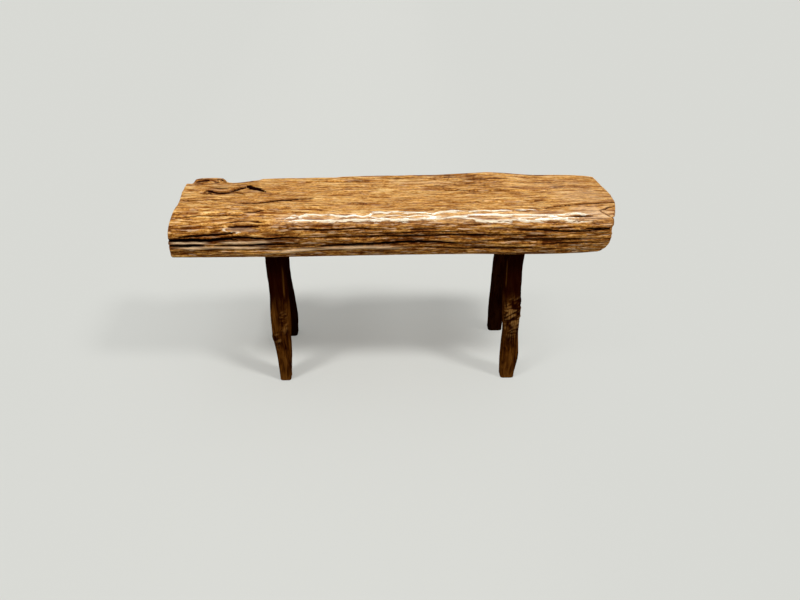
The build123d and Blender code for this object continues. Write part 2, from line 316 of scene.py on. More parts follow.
# Raised fibres low in the front, pale and painted lighter as a highlight: (x, height) paths with half width
# and rise
RIDGES = (
    (((-215, 373), (-87, 374), (36, 372)), 4.6, 1.6),
    (((-290, 365), (-249, 369), (-180, 374)), 4.6, 1.4),
    (((-430, 392), (-356, 391), (-290, 393)), 3.5, 0.8),
    (((-545, 378), (-394, 377), (-290, 378)), 3.6, 1.2),
    (((-545, 391), (-490, 391), (-440, 391)), 2.6, 0.8),
)

# Legs: top centre's depth, splay, and (left, right, depth) at even steps from shoulder to sole
SHOULDER = 356
LEG_STATIONS = {
    "front_left": (
        -104.5, -5.7,
        [(-323, -272, 46), (-321, -272, 45), (-318, -272, 46), (-319, -270, 45), (-316, -271, 44),
         (-308, -272, 43), (-303, -274, 41)],
    ),
    "front_right": (
        -104.5, -6.2,
        [(267, 317, 46), (267, 312, 45), (267, 311, 46), (268, 309, 45), (269, 309, 44), (267, 312, 43),
         (266, 302, 40)],
    ),
    "rear_left": (
        76, 1.8,
        [(-329, -285, 46), (-329, -285, 45), (-330, -287, 45), (-329, -286, 46), (-323, -279, 46),
         (-318, -273, 44), (-314, -275, 42)],
    ),
    "rear_right": (
        81, 3.5,
        [(272, 316, 46), (272, 315, 45), (270, 313, 46), (267, 312, 45), (266, 310, 45), (264, 307, 43),
         (263, 303, 41)],
    ),
}
# Leg knots as (turn in degrees from the right-hand face towards the back, height, half height,
# half turn, rise)
LEG_KNOTS = {
    "front_left": ((205, 119, 11, 16, 3.0), (290, 165, 34, 26, 1.7), (250, 120, 26, 22, 1.3)),
    "front_right": ((318, 188, 50, 50, 4.0), (270, 172, 58, 52, 2.2), (338, 212, 14, 16, 2.0),
                    (290, 200, 14, 14, 1.6)),
    "rear_left": ((265, 210, 14, 16, 1.0),),
    "rear_right": ((262, 262, 13, 18, -3.0), (250, 175, 14, 14, 2.0)),
}
# Where each leg is in the seat's shade: height at which the shade starts, its run and its share
LEG_SHADE = {
    "front_left": (180, 64, 0.94),
    "front_right": (200, 44, 0.94),
    "rear_left": (-200, 150, 0.92),
    "rear_right": (-200, 150, 0.82),
}
# Polished corners of the front legs, painted with a golden highlight, as (turn in degrees, lowest and highest
# height)
LEG_CORNER_HIGHLIGHTS = {"front_left": (306, 222, 322), "front_right": (226, 246, 330)}
# How square a leg's section is: the power of its rounded rectangle; and its mean radius
LEG_SQUARENESS = 5.0
LEG_RADIUS = 23
LEG_ROWS = 190
LEG_SIDES = 112
SOLE_ROUNDING = 3
SOLE_TURNS = (0, 22, 44, 66)
TENON = (16, 14, 58, 3.5)
KERF_HALF = 0.8
KERF_ROOT = 14

# Share of the full shadow along the bench, as (x, share) in metres
SHADOW_REACH = 1.1
SHADOW_SHARES = ((-1.0, 0.1), (-0.8, 0.5), (-0.55, 0.7), (-0.42, 1.0), (-0.12, 1.0), (0.02, 0.9),
                 (0.14, 0.92), (0.24, 0.76), (0.36, 0.3), (0.5, 0.08), (0.7, 0.02))
# Long lamp behind the bench, seen only in gloss: length and height, place and aim in metres
GLOSS_SIZE = (3.0, 0.8)
GLOSS_PLACE = (0.38, 2.24, 3.0)
GLOSS_AIM = (0.38, -0.14, 0.44)

CAMERA_SENSOR = 36.0
CAMERA_LENS = 39.15
CAMERA_PLACE = (-0.0431, -2.0542, 1.2394)
CAMERA_AIM = (0.00658, -0.15648, 0.230)
# Bumps of the materials in metres: log, legs and wedges; offset that centres the growth rings
LOG_BUMP = 0.003
LEG_BUMP = 0.002
WEDGE_BUMP = 0.0003
RINGS_OFFSET = (0, 0.02, -0.39)
# Directions towards the two soft suns, and their angular size in radians
RIGHT_LAMP_AIM = (0.73, -0.42, 1.0)
LEFT_LAMP_AIM = (-0.5, -0.37, 1.0)
LAMP_ANGLE = 0.2


# ---------------------------------------------------------------- shapes

def ease(t):
    """3t^2 - 2t^3 with t held between 0 and 1"""
    t = np.clip(t, 0, 1)
    return t * t * (3 - 2 * t)


def bell(t):
    """1 at the middle, falling to 0 where t reaches 1 either way"""
    return ease(1 - np.abs(t))


def lattice_noise(u, v, seed):
    """Slopes drawn at random on a square lattice, and between four neighbours the sum of their
    four slopes times the distance, blended by 6t^5 - 15t^4 + 10t^3; about -1 to 1"""
    turns = np.random.default_rng(seed).uniform(0, 2 * np.pi, (LATTICE, LATTICE))
    column, row = np.floor(u).astype(int), np.floor(v).astype(int)
    du, dv = u - column, v - row
    blend_u, blend_v = (t**3 * (t * (6 * t - 15) + 10) for t in (du, dv))

    def corner(right, up):
        turn = turns[(column + right) % LATTICE, (row + up) % LATTICE]
        return np.cos(turn) * (du - right) + np.sin(turn) * (dv - up)

    low = corner(0, 0) * (1 - blend_u) + corner(1, 0) * blend_u
    high = corner(0, 1) * (1 - blend_u) + corner(1, 1) * blend_u
    return 1.5 * (low * (1 - blend_v) + high * blend_v)


def ridged(u, v, seed, power=1.6):
    """1 - |noise| raised to a power: sharp crests along the noise's zero lines, 0 to 1"""
    return np.clip(1 - np.abs(lattice_noise(u, v, seed)), 0, 1) ** power


def through(table, place, first, step):
    """Smooth curve through evenly spaced rows (Catmull-Rom cubic), read at every place"""
    t = np.clip((place - first) / step, 0, len(table) - 1.0001)
    row = np.floor(t).astype(int)
    f = (t - row)[..., None]
    last = len(table) - 1
    a, b = table[np.clip(row - 1, 0, last)], table[row]
    c, d = table[np.clip(row + 1, 0, last)], table[np.clip(row + 2, 0, last)]
    return b + 0.5 * f * (c - a + f * (2 * a - 5 * b + 4 * c - d + f * (3 * (b - c) + d - a)))


def path_line(place, points):
    """Straight runs between given (place, value) points"""
    points = np.array(points, float)
    return np.interp(place, points[:, 0], points[:, 1])


def rounded_end(place, points):
    """Curve through (place, value) points: straight runs, averaged over 24 mm"""
    reach = np.linspace(-12, 12, 5)
    return sum(path_line(place + shift, points) for shift in reach) / len(reach)


def seat_corners(x):
    """The seven corners (y, z) and radii of the hewn section at x, low back corner first"""
    first = -LENGTH / 2 - BLANK_OVERHANG
    step = (LENGTH + 2 * BLANK_OVERHANG) / (len(SEAT_STATIONS) - 1)
    back, front, slope, drop, shoulder = np.moveaxis(through(SEAT_STATIONS, x, first, step), -1, 0)
    same = np.ones_like(x)
    places = [
        (back - BACK_UNDERCUT, UNDERSIDE * same),
        (back, BULGE_HEIGHT * same),
        (back - BACK_BULGE, TOP * same),
        (front + slope, TOP * same),
        (front + FRONT_LEAN, TOP - drop),
        (front, BULGE_HEIGHT * same),
        (front + FRONT_UNDERCUT, UNDERSIDE * same),
    ]
    crisp = 1 - 0.7 * ease((x - 360) / 130)
    radii = [UNDER_BACK_FILLET * crisp, BULGE_FILLET, BACK_FILLET, CROWN_FILLET, shoulder, BULGE_FILLET,
             UNDER_FRONT_FILLET * crisp]
    return [np.stack(place, -1) for place in places], [radius * same for radius in radii]


def corner_arc(before, corner, after, radius):
    """A corner's rounding: where it leaves each side, radius times the tangent of half the
    turn from the corner, and the weight (cosine of half the turn) that makes it a true arc"""
    def unit(run):
        return run / np.linalg.norm(run, axis=-1, keepdims=True)

    to_before, to_after = unit(before - corner), unit(after - corner)
    turn = np.pi - np.arccos(np.clip((to_before * to_after).sum(-1), -1, 1))
    back_off = (radius * np.tan(turn / 2))[..., None]
    return corner + to_before * back_off, corner + to_after * back_off, np.cos(turn / 2)[..., None]


def seat_ring(x):
    """Section point (y, z) for each sample round the log, where x gives its place along it:
    straight runs between corners, and arcs as quadratic curves with a weighted middle point"""
    columns = []
    start = 0
    for kind, index, count in AROUND:
        places, radii = seat_corners(x[:, start:start + count])
        leave = [
            corner_arc(places[(k - 1) % 7], places[k], places[(k + 1) % 7], radii[k])
            for k in (index, (index + 1) % 7)
        ]
        t = (np.arange(count) / count)[None, :, None]
        if kind == "arc":
            entry, exit_, weight = leave[0]
            a, b, c = (1 - t) ** 2, 2 * weight * t * (1 - t), t**2
            columns.append((a * entry + b * places[index] + c * exit_) / (a + b + c))
        else:
            columns.append(leave[0][1] * (1 - t) + leave[1][0] * t)
        start += count
    return np.concatenate(columns, axis=1)


def right_end(y, z):
    """x of the right end: its outline from above with the ragged edge added near the front, or
    the worn toe where that is less"""
    skew = TOE_START[0] + TOE_SKEW * (y - TOE_START[1])
    toe = skew + path_line(z, TOE)
    plan = rounded_end(y, RIGHT_END)
    split_height = z + RAGGED_FALL * (y + 150)
    plan = plan + path_line(split_height, RAGGED_END) * ease((-30 - y) / 35)
    blend = 1.2
    return -blend * np.log(np.exp(-(plan - 500) / blend) + np.exp(-(toe - 500) / blend)) + 500


def left_end(y, z):
    """x of the left end: its outline from above, the same at every height"""
    return rounded_end(y, LEFT_END) + 0 * z


def back_edge(x):
    """y of the seat's back at its widest height, before the notch and the swelling"""
    first = -LENGTH / 2 - BLANK_OVERHANG
    step = (LENGTH + 2 * BLANK_OVERHANG) / (len(SEAT_STATIONS) - 1)
    return through(SEAT_STATIONS[:, :1], x, first, step)[..., 0]


def squashed(x, y, z):
    """Underside raised to its rise line; the back edge drawn in to the notch's arc, and out to
    the round-ended rings of the swelling, in proportion to each point's distance past the start
    of its reach"""
    floor = path_line(x, UNDER_RISE)
    z = TOP - (TOP - z) * (TOP - floor) / (TOP - UNDERSIDE)
    below = BACK_UNDERCUT * (BULGE_HEIGHT - z) / (BULGE_HEIGHT - UNDERSIDE)
    above = BACK_BULGE * (z - BULGE_HEIGHT) / (TOP - BULGE_HEIGHT)
    edge = back_edge(x) - np.where(z < BULGE_HEIGHT, below, above)

    notch_x, notch_y, radius = NOTCH
    arc = notch_y - np.sqrt(np.maximum(radius**2 - (x - notch_x) ** 2, 0))
    arc = arc * np.hypot(1, NOTCH_LEAN) + NOTCH_LEAN * (TOP + 4 - z)
    rings = np.array(SWELLING, float)
    middle, half_length, half_width = (np.interp(z, rings[:, 0], rings[:, k]) for k in (1, 2, 3))
    past = np.maximum(np.abs(x - SWELLING_X) - (half_length - half_width), 0)
    on_ring = (past < half_width) & (z > rings[0, 0])
    round_end = np.where(on_ring, middle + np.sqrt(np.maximum(half_width**2 - past**2, 0)), 0)
    push = np.maximum(round_end - edge, 0) - np.maximum(edge - arc, 0)
    reach = np.maximum(y - REACH_START, 0) / (edge - REACH_START)
    return y + push * np.minimum(reach, 1.1), z


def outward(points):
    """Unit normals of a ring grid: cross product of its steps round and along"""
    along = np.gradient(points, axis=0)
    around = (np.roll(points, -1, 1) - np.roll(points, 1, 1)) / 2
    normal = np.cross(around, along)
    return normal / np.maximum(np.linalg.norm(normal, axis=-1, keepdims=True), 1e-9)


def grain_lines(x, y, s):
    """Grain label across the log: distance round it, swayed by slow noise and parted round each
    knot like a stream round a stone, ds (1 - r^2 / (dx^2/9 + ds^2 + r^2/4))"""
    sway = 5 * lattice_noise(x / 260, s / 120, 11) + 1.6 * lattice_noise(x / 90, s / 40, 12)
    label = s + sway
    for knot_x, knot_y, radius in TOP_KNOTS:
        dx, dy = x - knot_x, y - knot_y
        near = np.exp(-(dx / (3.2 * radius)) ** 2 - (dy / (1.6 * radius)) ** 2)
        label = label + near * dy * radius**2 / (dx**2 / 9 + dy**2 + radius**2 / 4) * 0.8
    return label


def groove(place, across, path, half_width, depth):
    """Check along a path: deepest on its line, closing to both sides and towards both ends;
    gives the depth and how far into its painted black shade each point lies"""
    start, end = path[0][0], path[-1][0]
    t = (place - start) / (end - start)
    opening = np.sqrt(np.clip(4 * t * (1 - t), 0, 1))
    wobble = (0.9 * lattice_noise(place / 18, place * 0 + half_width, 21)
              + 0.5 * lattice_noise(place / 9, place * 0, 22))
    gap = np.abs(across - path_line(place, path) - wobble) / (half_width * np.maximum(opening, 0.05))
    inside = (t > 0) & (t < 1)
    shape = np.where(inside, np.clip(1.25 - gap, 0, 1), 0)
    return depth * opening * shape**0.8, np.where(inside, ease((1.4 - gap) * 1.5), 0) * ease(opening * 2)


def fissures(x, label, spacing, half_width, seed):
    """Hairline splits one spacing apart, each opening and closing along its length where its own
    row of slow noise is above 0; 1 at a split's middle, 0 past its half width"""
    row = label / spacing + 0.3 * lattice_noise(x / 190, label / (4 * spacing), seed)
    index = np.floor(row)
    opening = ease(1.6 * lattice_noise(x / 75 + 7.31 * index, index * 0.37 + 0.5, seed + 1) + 0.25)
    away = np.abs(row - index - 0.5) * spacing
    return opening * np.clip(1 - away / (half_width * (0.35 + opening)), 0, 1)


def worn_hollow(along, across, run):
    """Depth of one hollow: a lens in outline, closing evenly from its edge to its middle line"""
    (start, first), (end, last), gap, depth = run
    t = np.clip((along - start) / (end - start), 0, 1)
    half_width = np.maximum(gap / 2 * 4 * t * (1 - t), 0.01)
    shape = ease(1.15 - np.abs(across - first - t * (last - first)) / half_width)
    return depth * shape * ease(8 * t * (1 - t))


def patches(x, y, table, seed):
    """Strongest of the table's ellipses at each point, each fading at an edge made ragged by noise"""
    ragged = 0.5 * lattice_noise(x / 22, y / 8, seed) + 0.3 * lattice_noise(x / 60, y / 14, seed + 1)
    return np.max([
        weight * ease(1.6 - 1.6 * (np.hypot((x - middle_x) / a, (y - middle_y) / b) + ragged))
        for middle_x, middle_y, a, b, weight in table
    ], axis=0)


def cut_hollows(x, y, z, top):
    """Depth of the worn hollows in the front, top and back: the part of each lens past its plane"""
    hollows = np.zeros_like(x)
    for run in FRONT_HOLLOWS:
        cut = worn_hollow(x, z, run)
        past = np.maximum(cut - FRONT_PLANE - y, 0)
        hollows = np.maximum(hollows, past * (cut > 0) * (y < FRONT_FACE))
    for run in TOP_HOLLOWS:
        hollows = np.maximum(hollows, worn_hollow(x, y, run) * top)
    for run in BACK_HOLLOWS:
        cut = worn_hollow(x, z, run)
        past = np.maximum(cut + y - BACK_PLANE - BACK_SKEW * x, 0)
        hollows = np.maximum(hollows, past * (cut > 0) * (y > BACK_FACE))
    return hollows


def shape_far_corner(relief, x, y, z, top):
    """The ledge rises behind its line, the lump in eased terraces towards the middle of its
    ellipse, and the corner beside them is chipped"""
    ledge = path_line(x, LEDGE)
    inside = ease((x + 512) / 20) * ease((-352 - x) / 22)
    step = ease((y - ledge) / 5) * ease((ledge + 66 - y) / 40) * inside * top
    lump_x, lump_y, lump_a, lump_b, lump_rise = LUMP
    spread = np.sqrt(((x - lump_x) / lump_a) ** 2 + ((y - lump_y) / lump_b) ** 2)
    spread = spread + 0.12 * lattice_noise(x / 24, y / 16, 41)
    layers = LUMP_LAYERS * np.clip(1.15 - spread, 0, 1)
    terrace = (np.floor(layers) + ease((layers - np.floor(layers)) / 0.35)) / LUMP_LAYERS
    lump = lump_rise * terrace * ease((z - 405) / 25) * (1 - 0.85 * ease((y - 110) / 18))
    chipped = ease((-521 - x) / 5) * ease((y - 94) / 10) * ease((z - 415) / 20)
    calmed = relief * (1 - 0.4 * ease(1.2 - spread))
    return calmed - LEDGE_RISE * step - lump + CHIP_DEPTH * chipped


def cut_checks(relief, x, y, z, on_front):
    """Drying checks cut along their paths, with maps of the painted black shade inside them and of
    the painted darker shade round their edges
    """
    black = np.zeros_like(x)
    lip_shades = np.zeros_like(x)
    on_top = ease((z - 424) / 8)
    for across, checks, mask, widen in ((z, FRONT_CHECKS, on_front, 1.0), (y, TOP_CHECKS, on_top, 1.1)):
        for path, half_width, depth in checks:
            half_width = half_width * widen
            cut, dark = groove(x, across, path, half_width, depth)
            _, lip_shade = groove(x, across, path, 2.4 * half_width, depth)
            relief = relief * (1 - 0.5 * dark * mask) + cut * mask
            black = np.maximum(black, dark * mask)
            lip_shades = np.maximum(lip_shades, lip_shade * mask)
    return relief, black, lip_shades


def cut_hole(relief, black, x, y, top):
    """The knot hole, a pit whose width opens and closes along its middle line, painted black
    inside as shade
    """
    middle = path_line(x, HOLE)
    t = (x - HOLE[0][0]) / (HOLE[-1][0] - HOLE[0][0])
    width = HOLE_HALF_WIDTH * np.clip(5 * t * (1.04 - t), 0, 1) ** 0.4
    pit_edge = np.where((t > 0) & (t < 1), 1.2 - np.abs(y - middle) / np.maximum(width, 0.2), 0)
    hole = ease(pit_edge * 1.5 - 0.3) * top
    return relief * (1 - hole) + HOLE_DEPTH * hole, np.maximum(black, ease(pit_edge * 3.0) * top)


def raise_ridges(relief, x, y, z):
    """Raised fibres low in the front: a bell-shaped crest between two sunk flanks, whose mask also
    carries a painted highlight
    """
    lifted = np.zeros_like(x)
    for path, half_width, rise in RIDGES:
        t = (x - path[0][0]) / (path[-1][0] - path[0][0])
        fade = ease(4 * t) * ease(4 * (1 - t)) * (y < LOW_FRONT)
        above = z - path_line(x, path) - 1.2 * lattice_noise(x / 30, x * 0 + half_width, 58)
        crest = bell(above / (1.6 * half_width)) * fade
        relief = relief - rise * crest + 1.6 * rise * bell(above / (3.4 * half_width)) * (1 - crest) * fade
        lifted = np.maximum(lifted, crest)
    return relief, lifted


def press_scar(relief, x, y, z):
    """The smooth scar, an ellipse with a ragged edge, and the raised rim round its left side,
    whose mask also carries a painted highlight
    """
    scar_x, scar_z, scar_a, scar_b = SCAR
    away = np.sqrt(((x - scar_x) / scar_a) ** 2 + ((z - scar_z) / scar_b) ** 2)
    away = away + 0.14 * lattice_noise(x / 22, z / 9, 53)
    scar = ease(3 - 3 * away) * (y < LOW_FRONT)
    rim = bell((away - 0.97) / 0.16) * ease((scar_x - x + 2 * (scar_z - z)) / 30) * (y < LOW_FRONT)
    return relief * (1 - 0.7 * scar) + SCAR_DEPTH * scar - 1.2 * rim, scar, rim


def raise_strands(relief, x, y, top):
    """Polished strands, bell-shaped across their swaying paths and thinning at both ends; their
    mask also carries a painted highlight
    """
    shine = np.zeros_like(x)
    for path, half_width in STRANDS:
        t = (x - path[0][0]) / (path[-1][0] - path[0][0])
        sway = 2.0 * lattice_noise(x / 24, x * 0 + half_width, 52)
        broad = half_width * (1 + 0.5 * lattice_noise(x / 30, x * 0 + half_width, 54))
        strip = bell((y - path_line(x, path) - sway) / broad) * ease(16 * t) * ease(16 * (1 - t)) * top
        relief = relief - STRAND_RISE * strip
        shine = np.maximum(shine, strip)
    return relief, shine


def seat_relief(x, y, z, s):
    """Depth of the weathering under the hewn surface, with the maps that colour it: layers of
    noise stretched along the grain, then each larger form laid over them in turn"""
    top = ease((z - 425) / 12)
    front = ease((-118 - y) / 30) * (1 - 0.8 * top)
    back = ease((y - 100) / 25) * (1 - top)
    label = grain_lines(x, y, s)
    far_left = ease((-250 - x) / 160)
    strength = 0.75 + 0.6 * front + 0.25 * far_left + 0.4 * back

    swell, strand, rib, fibre = (
        lattice_noise(x / along, label / across, seed) for along, across, seed in WEATHERING)
    torn = fissures(x, label, *TORN)
    split = fissures(x, label + 4, *FINE)
    band = shoulder_band(x, y) * top
    calm = 1 - 0.65 * band
    relief = 0.8 * swell + strength * calm * (
        1.2 * strand + 0.9 * rib + 0.45 * fibre + 2.2 * torn + 1.0 * split - 0.5
    )
    hollows = cut_hollows(x, y, z, top)
    relief = relief * (1 - 0.1 * hollows) + hollows
    relief = shape_far_corner(relief, x, y, z, top)

    edge = back_edge(x)
    relief = relief - path_line(x, BACK_SWELL) * ease((y - edge + 34) / 22) * top
    rim_width = 16 + 10 * lattice_noise(x / 70, x * 0 + 0.5, 57)
    # Painted shade: a darker band of ragged width along the back edge of the top
    back_edge_shade = ease((y - edge + rim_width) / 7) * ease((x + 135) / 70) * top

    on_front = ease((-112 - y) / 14) * (z < 446)
    relief, black, lip_shades = cut_checks(relief, x, y, z, on_front)
    relief, black = cut_hole(relief, black, x, y, top)
    relief, lifted = raise_ridges(relief, x, y, z)
    relief, scar, rim = press_scar(relief, x, y, z)
    relief, shine = raise_strands(relief, x, y, top)

    front_face = ease((-128 - y) / 26) * ease((446 - z) / 16)
    back_face = 0.8 * ease((y - 118) / 20) * (1 - top)
    top_stain = patches(x, y, STAINS, 91) * top
    maps = {
        "hollow": np.clip(0.5 + 0.22 * strand + 0.22 * rib + 0.14 * fibre + 0.05 * hollows, 0, 1),
        # Painted shade darkening the hairline splits
        "split": np.clip(1.3 * torn + 0.9 * split, 0, 1),
        # Painted shade: black inside the checks and the knot hole
        "check": np.clip(black, 0, 1),
        # Painted shade round the edges of the checks
        "lip_shade": np.clip(lip_shades, 0, 1),
        # Pale raised fibres, painted lighter as a highlight
        "ridge_highlight": np.clip(lifted, 0, 1),
        # Painted highlight on the polished strands and on the scar's rim
        "painted_highlight": np.clip(np.maximum(rim * 0.85, shine), 0, 1),
        "stain": np.maximum(top_stain, patches(x, z, FRONT_STAINS, 95) * on_front),
        "bleached": patches(x, y, BLEACHED, 93) * top,
        "scar": scar,
        "back_edge_shade": back_edge_shade,
        "polish": np.clip(band, 0, 1),
        "front": np.clip(front_face + back_face, 0, 1),
        "aged": far_left,
    }
    return relief, label, maps


def shoulder_band(x, y):
    """1 along the polished slope above the front edge, fading out in 30 mm each way"""
    return bell((y + 136) / 34) * ease((x + 315) / 60) * ease((540 - x) / 60)


def end_grain(y, z, seed, side):
    """Depth of an end's relief: splits that run out from the pith and open and close on the way,
    saw marks, rings, and on the right end two bites at its upper edge"""
    pith_y, pith_z = PITH
    turn = np.arctan2(z - pith_z, y - pith_y)
    spread = np.hypot(z - pith_z, y - pith_y)
    splits = fissures(spread * 1.5, turn, 2 * np.pi / END_SPLITS, 0.03, seed + 4) * ease(spread / 30)
    marks = lattice_noise((y + 0.25 * z) / 5, z / 60, seed + 1)
    rings = lattice_noise(spread / 6, turn * 1.5, seed + 2)
    bite = bell((y + 74) / 5) * ease((z - 418) / 20) + bell((y + 125) / 6) * ease((z - 415) / 20)
    return 4.5 * splits + 0.6 * marks + 0.4 * rings + 7 * bite * side - 0.8, splits


def log_surface(seat):
    """The seat as rings along the log and points round it: each point's place along the log is
    a share of the way between the end faces at its own depth and height; both ends are rounded
    by a quarter circle and closed by rings that shrink to a pole; weathering sinks every point
    along its inward normal"""
    round_over = seat.end_rounding / MM
    turns = np.radians(END_TURNS)
    near = round_over * (1 - np.cos(turns))
    places = np.concatenate([
        near,
        np.linspace(round_over, LENGTH - round_over, seat.rings),
        LENGTH - near[::-1],
    ]) / LENGTH
    inset = np.concatenate([1 - np.sin(turns), np.zeros(seat.rings), (1 - np.sin(turns))[::-1]])

    samples = sum(count for _, _, count in AROUND)
    share = np.repeat(places[:, None], samples, 1)
    x = (share - 0.5) * LENGTH
    for _ in range(3):
        ring = seat_ring(x)
        y, z = squashed(x, ring[..., 0], ring[..., 1])
        x = left_end(y, z) * (1 - share) + right_end(y, z) * share
    points = np.stack([x, y, z], -1)
    normals = outward(points)

    middle = points[len(points) // 2]
    steps = np.linalg.norm(np.roll(middle, -1, 0) - middle, axis=-1)
    s = np.repeat(np.concatenate([[0], np.cumsum(steps)[:-1]])[None, :], len(places), 0)
    relief, label, maps = seat_relief(x, y, z, s)

    under = ease((UNDERSIDE + 14 - z) / 12)
    relief = relief * (1 - 0.75 * under) * (1 - 0.5 * inset[:, None]) + 0.3
    wear = round_over * (1 + 0.35 * lattice_noise(s / 30, share * 9, 61))
    points = points - normals * (relief + inset[:, None] * wear)[..., None]

    caps = []
    for row, end, side, seed in ((0, left_end, -1, 71), (-1, right_end, 1, 81)):
        rim = points[row]
        pole = rim.mean(0)
        shares = np.linspace(0, 1, CAP_RINGS + 2)[1:-1][:, None, None]
        rings = pole * shares + rim * (1 - shares)
        depth, splits = end_grain(rings[..., 1], rings[..., 2], seed, max(side, 0))
        face = end(rings[..., 1], rings[..., 2])
        rim_face = end(rim[:, 1], rim[:, 2])
        settle = ease(shares[..., 0] * 6)
        rings[..., 0] = (face + (rim[:, 0] - rim_face) * (1 - settle)) - side * depth * settle
        caps.append((rings, splits, pole * [0, 1, 1] + [rings[-1, :, 0].mean(), 0, 0]))

    left_rings, left_splits, left_pole = caps[0]
    right_rings, right_splits, right_pole = caps[1]
    grid = np.concatenate([left_rings[::-1], points, right_rings])
    low, high = CAD_BOX_MM
    grid = np.clip(grid, low, high)

    def padded(body, left, right):
        return np.concatenate([np.broadcast_to(left, left_rings.shape[:2]), body,
                               np.broadcast_to(right, right_rings.shape[:2])])

    ends = np.zeros(points.shape[:2])
    for row, weight in enumerate((1, 0.8, 0.4, 0.1, 0)):
        ends[row] = ends[-1 - row] = weight
    maps = {name: padded(field, field[:1], field[-1:]) for name, field in maps.items()}
    maps["end_grain"] = padded(ends, 1, 1)
    end_splits = padded(points[..., 0] * 0, ease(left_splits[::-1] * 1.3), ease(right_splits * 1.3))
    # The splits in the ends are painted black as shade too
    maps["check"] = np.maximum(maps["check"] * (1 - maps["end_grain"]), end_splits)
    across = padded(label, label[:1], label[-1:])
    return grid, (left_pole, right_pole), maps, across


def leg_surface(name):
    """A leg as rings up its height and points round it: a rectangle with hewn corners, its size
    and centre from smooth curves through the stations, moved back or forward by height times
    the splay, knots swelling it, grain sinking it, its sole rounded by a quarter circle"""
    top_y, splay, stations = LEG_STATIONS[name]
    stations = np.array(stations, float)[::-1]
    turns = np.radians(SOLE_TURNS)
    sole = SOLE_ROUNDING * (1 - np.cos(turns))
    heights = np.concatenate([sole, np.linspace(SOLE_ROUNDING, SHOULDER, LEG_ROWS)])
    inset = np.concatenate([SOLE_ROUNDING * (1 - np.sin(turns)), np.zeros(LEG_ROWS)])
    left, right, depth = np.moveaxis(through(stations, heights, 0, SHOULDER / (len(stations) - 1)), -1, 0)
    half_x, half_y = ((right - left) / 2)[:, None], (depth / 2)[:, None]
    angle = (np.arange(LEG_SIDES) * 2 * np.pi / LEG_SIDES)[None, :]
    z = heights[:, None] + angle * 0

    cos, sin = np.cos(angle), np.sin(angle)
    radius = (np.abs(cos / half_x) ** LEG_SQUARENESS
              + np.abs(sin / half_y) ** LEG_SQUARENESS) ** (-1 / LEG_SQUARENESS)
    seed = 100 + 10 * list(LEG_STATIONS).index(name)
    hewn = lattice_noise(z / 90, angle * 1.3, seed) * 1.6 + lattice_noise(z / 42, angle * 2.2, seed + 1) * 0.9
    girth = angle * LEG_RADIUS
    sway = 2.5 * lattice_noise(z / 120, girth / 40, seed + 2)
    label = girth + sway
    rise = np.zeros_like(z)
    burl = np.zeros_like(z)
    for turn, height, half_height, half_turn, swell in LEG_KNOTS[name]:
        away = (np.degrees(angle) - turn + 180) % 360 - 180
        spread = np.sqrt((away / half_turn) ** 2 + ((z - height) / half_height) ** 2)
        rise = rise + swell * ease(1.2 - spread)
        burl = np.maximum(burl, ease(1.3 - spread) * min(abs(swell) / 3, 1))
        label = label + away * 0.3 * np.exp(-(spread**2))
    grain = (
        0.9 * lattice_noise(z / 70, label / 7, seed + 3)
        + 0.5 * lattice_noise(z / 34, label / 3.4, seed + 4)
        + 0.7 * ridged(z / 80, label / 8, seed + 5, 4)
    )
    wrinkle = ridged((z - 0.45 * girth) / 8.5, (girth + 0.45 * z) / 34, seed + 6, 2.0)
    gnarl = burl * (3.6 * wrinkle - 1.6)
    depth_in = 0.5 + hewn * 0.6 + grain - rise + gnarl
    depth_in = depth_in * ease(z / 6) + inset[:, None]
    radius = radius - depth_in
    x = (left + right)[:, None] / 2 + radius * cos
    y = top_y + (SHOULDER - z) * np.tan(np.radians(splay)) + radius * sin
    points = np.stack([x, y, z], -1)
    low, high = (np.array(corner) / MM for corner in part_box("leg_" + name))
    points = np.clip(points, low, high)
    corner_highlight = np.zeros_like(z)
    if name in LEG_CORNER_HIGHLIGHTS:
        turn, lowest, highest = LEG_CORNER_HIGHLIGHTS[name]
        t = (z - lowest) / (highest - lowest)
        corner_highlight = bell((np.degrees(angle) - turn) / 5.5) * ease(4 * t) * ease(4 * (1 - t))
    maps = {
        "hollow": np.clip(0.5 + 0.35 * grain + 0.5 * gnarl, 0, 1),
        "burl": burl,
        # Painted shade: black in the valleys of the burl's wrinkles
        "check": np.clip(burl * wrinkle**3, 0, 1),
        "shade": LEG_SHADE[name][2] * ease((z - LEG_SHADE[name][0]) / LEG_SHADE[name][1]),
        # Painted highlight: golden glints on the crests of the burl's wrinkles
        "crest": burl * ease((0.58 - wrinkle) / 0.2) * ease((232 - z) / 14) * (name.startswith("front")),
        "corner_highlight": corner_highlight,
        "foot": ease((34 - z) / 30) * (name.startswith("front")),
    }
    poles = (points[0].mean(0), points[-1].mean(0))
    return points, poles, maps, np.stack([z, label], -1)


def tenon_prism(name):
    """A leg's spread tenon: its outline with the kerf's slot, carried from front to back, and
    leaned by the splay"""
    top_y, splay, stations = LEG_STATIONS[name]
    half_width, half_depth, length, spread = TENON
    butt = KERF_HALF + spread
    outline = np.array([
        (-half_width, -2), (half_width, -2), (half_width + spread, length), (butt, length),
        (KERF_HALF, KERF_ROOT), (-KERF_HALF, KERF_ROOT), (-butt, length), (-half_width - spread, length),
    ], float)
    centre = (stations[0][0] + stations[0][1]) / 2
    lean = np.radians(splay)
    across = np.array([-half_depth, half_depth])[:, None]
    rise = outline[None, :, 1] + across * 0
    x = centre + outline[None, :, 0] + across * 0
    y = top_y + across * np.cos(lean) - rise * np.sin(lean)
    z = SHOULDER + rise * np.cos(lean) + across * np.sin(lean)
    return np.stack([x, y, z], -1).reshape(-1, 3), len(outline)


# ---------------------------------------------------------------- meshes

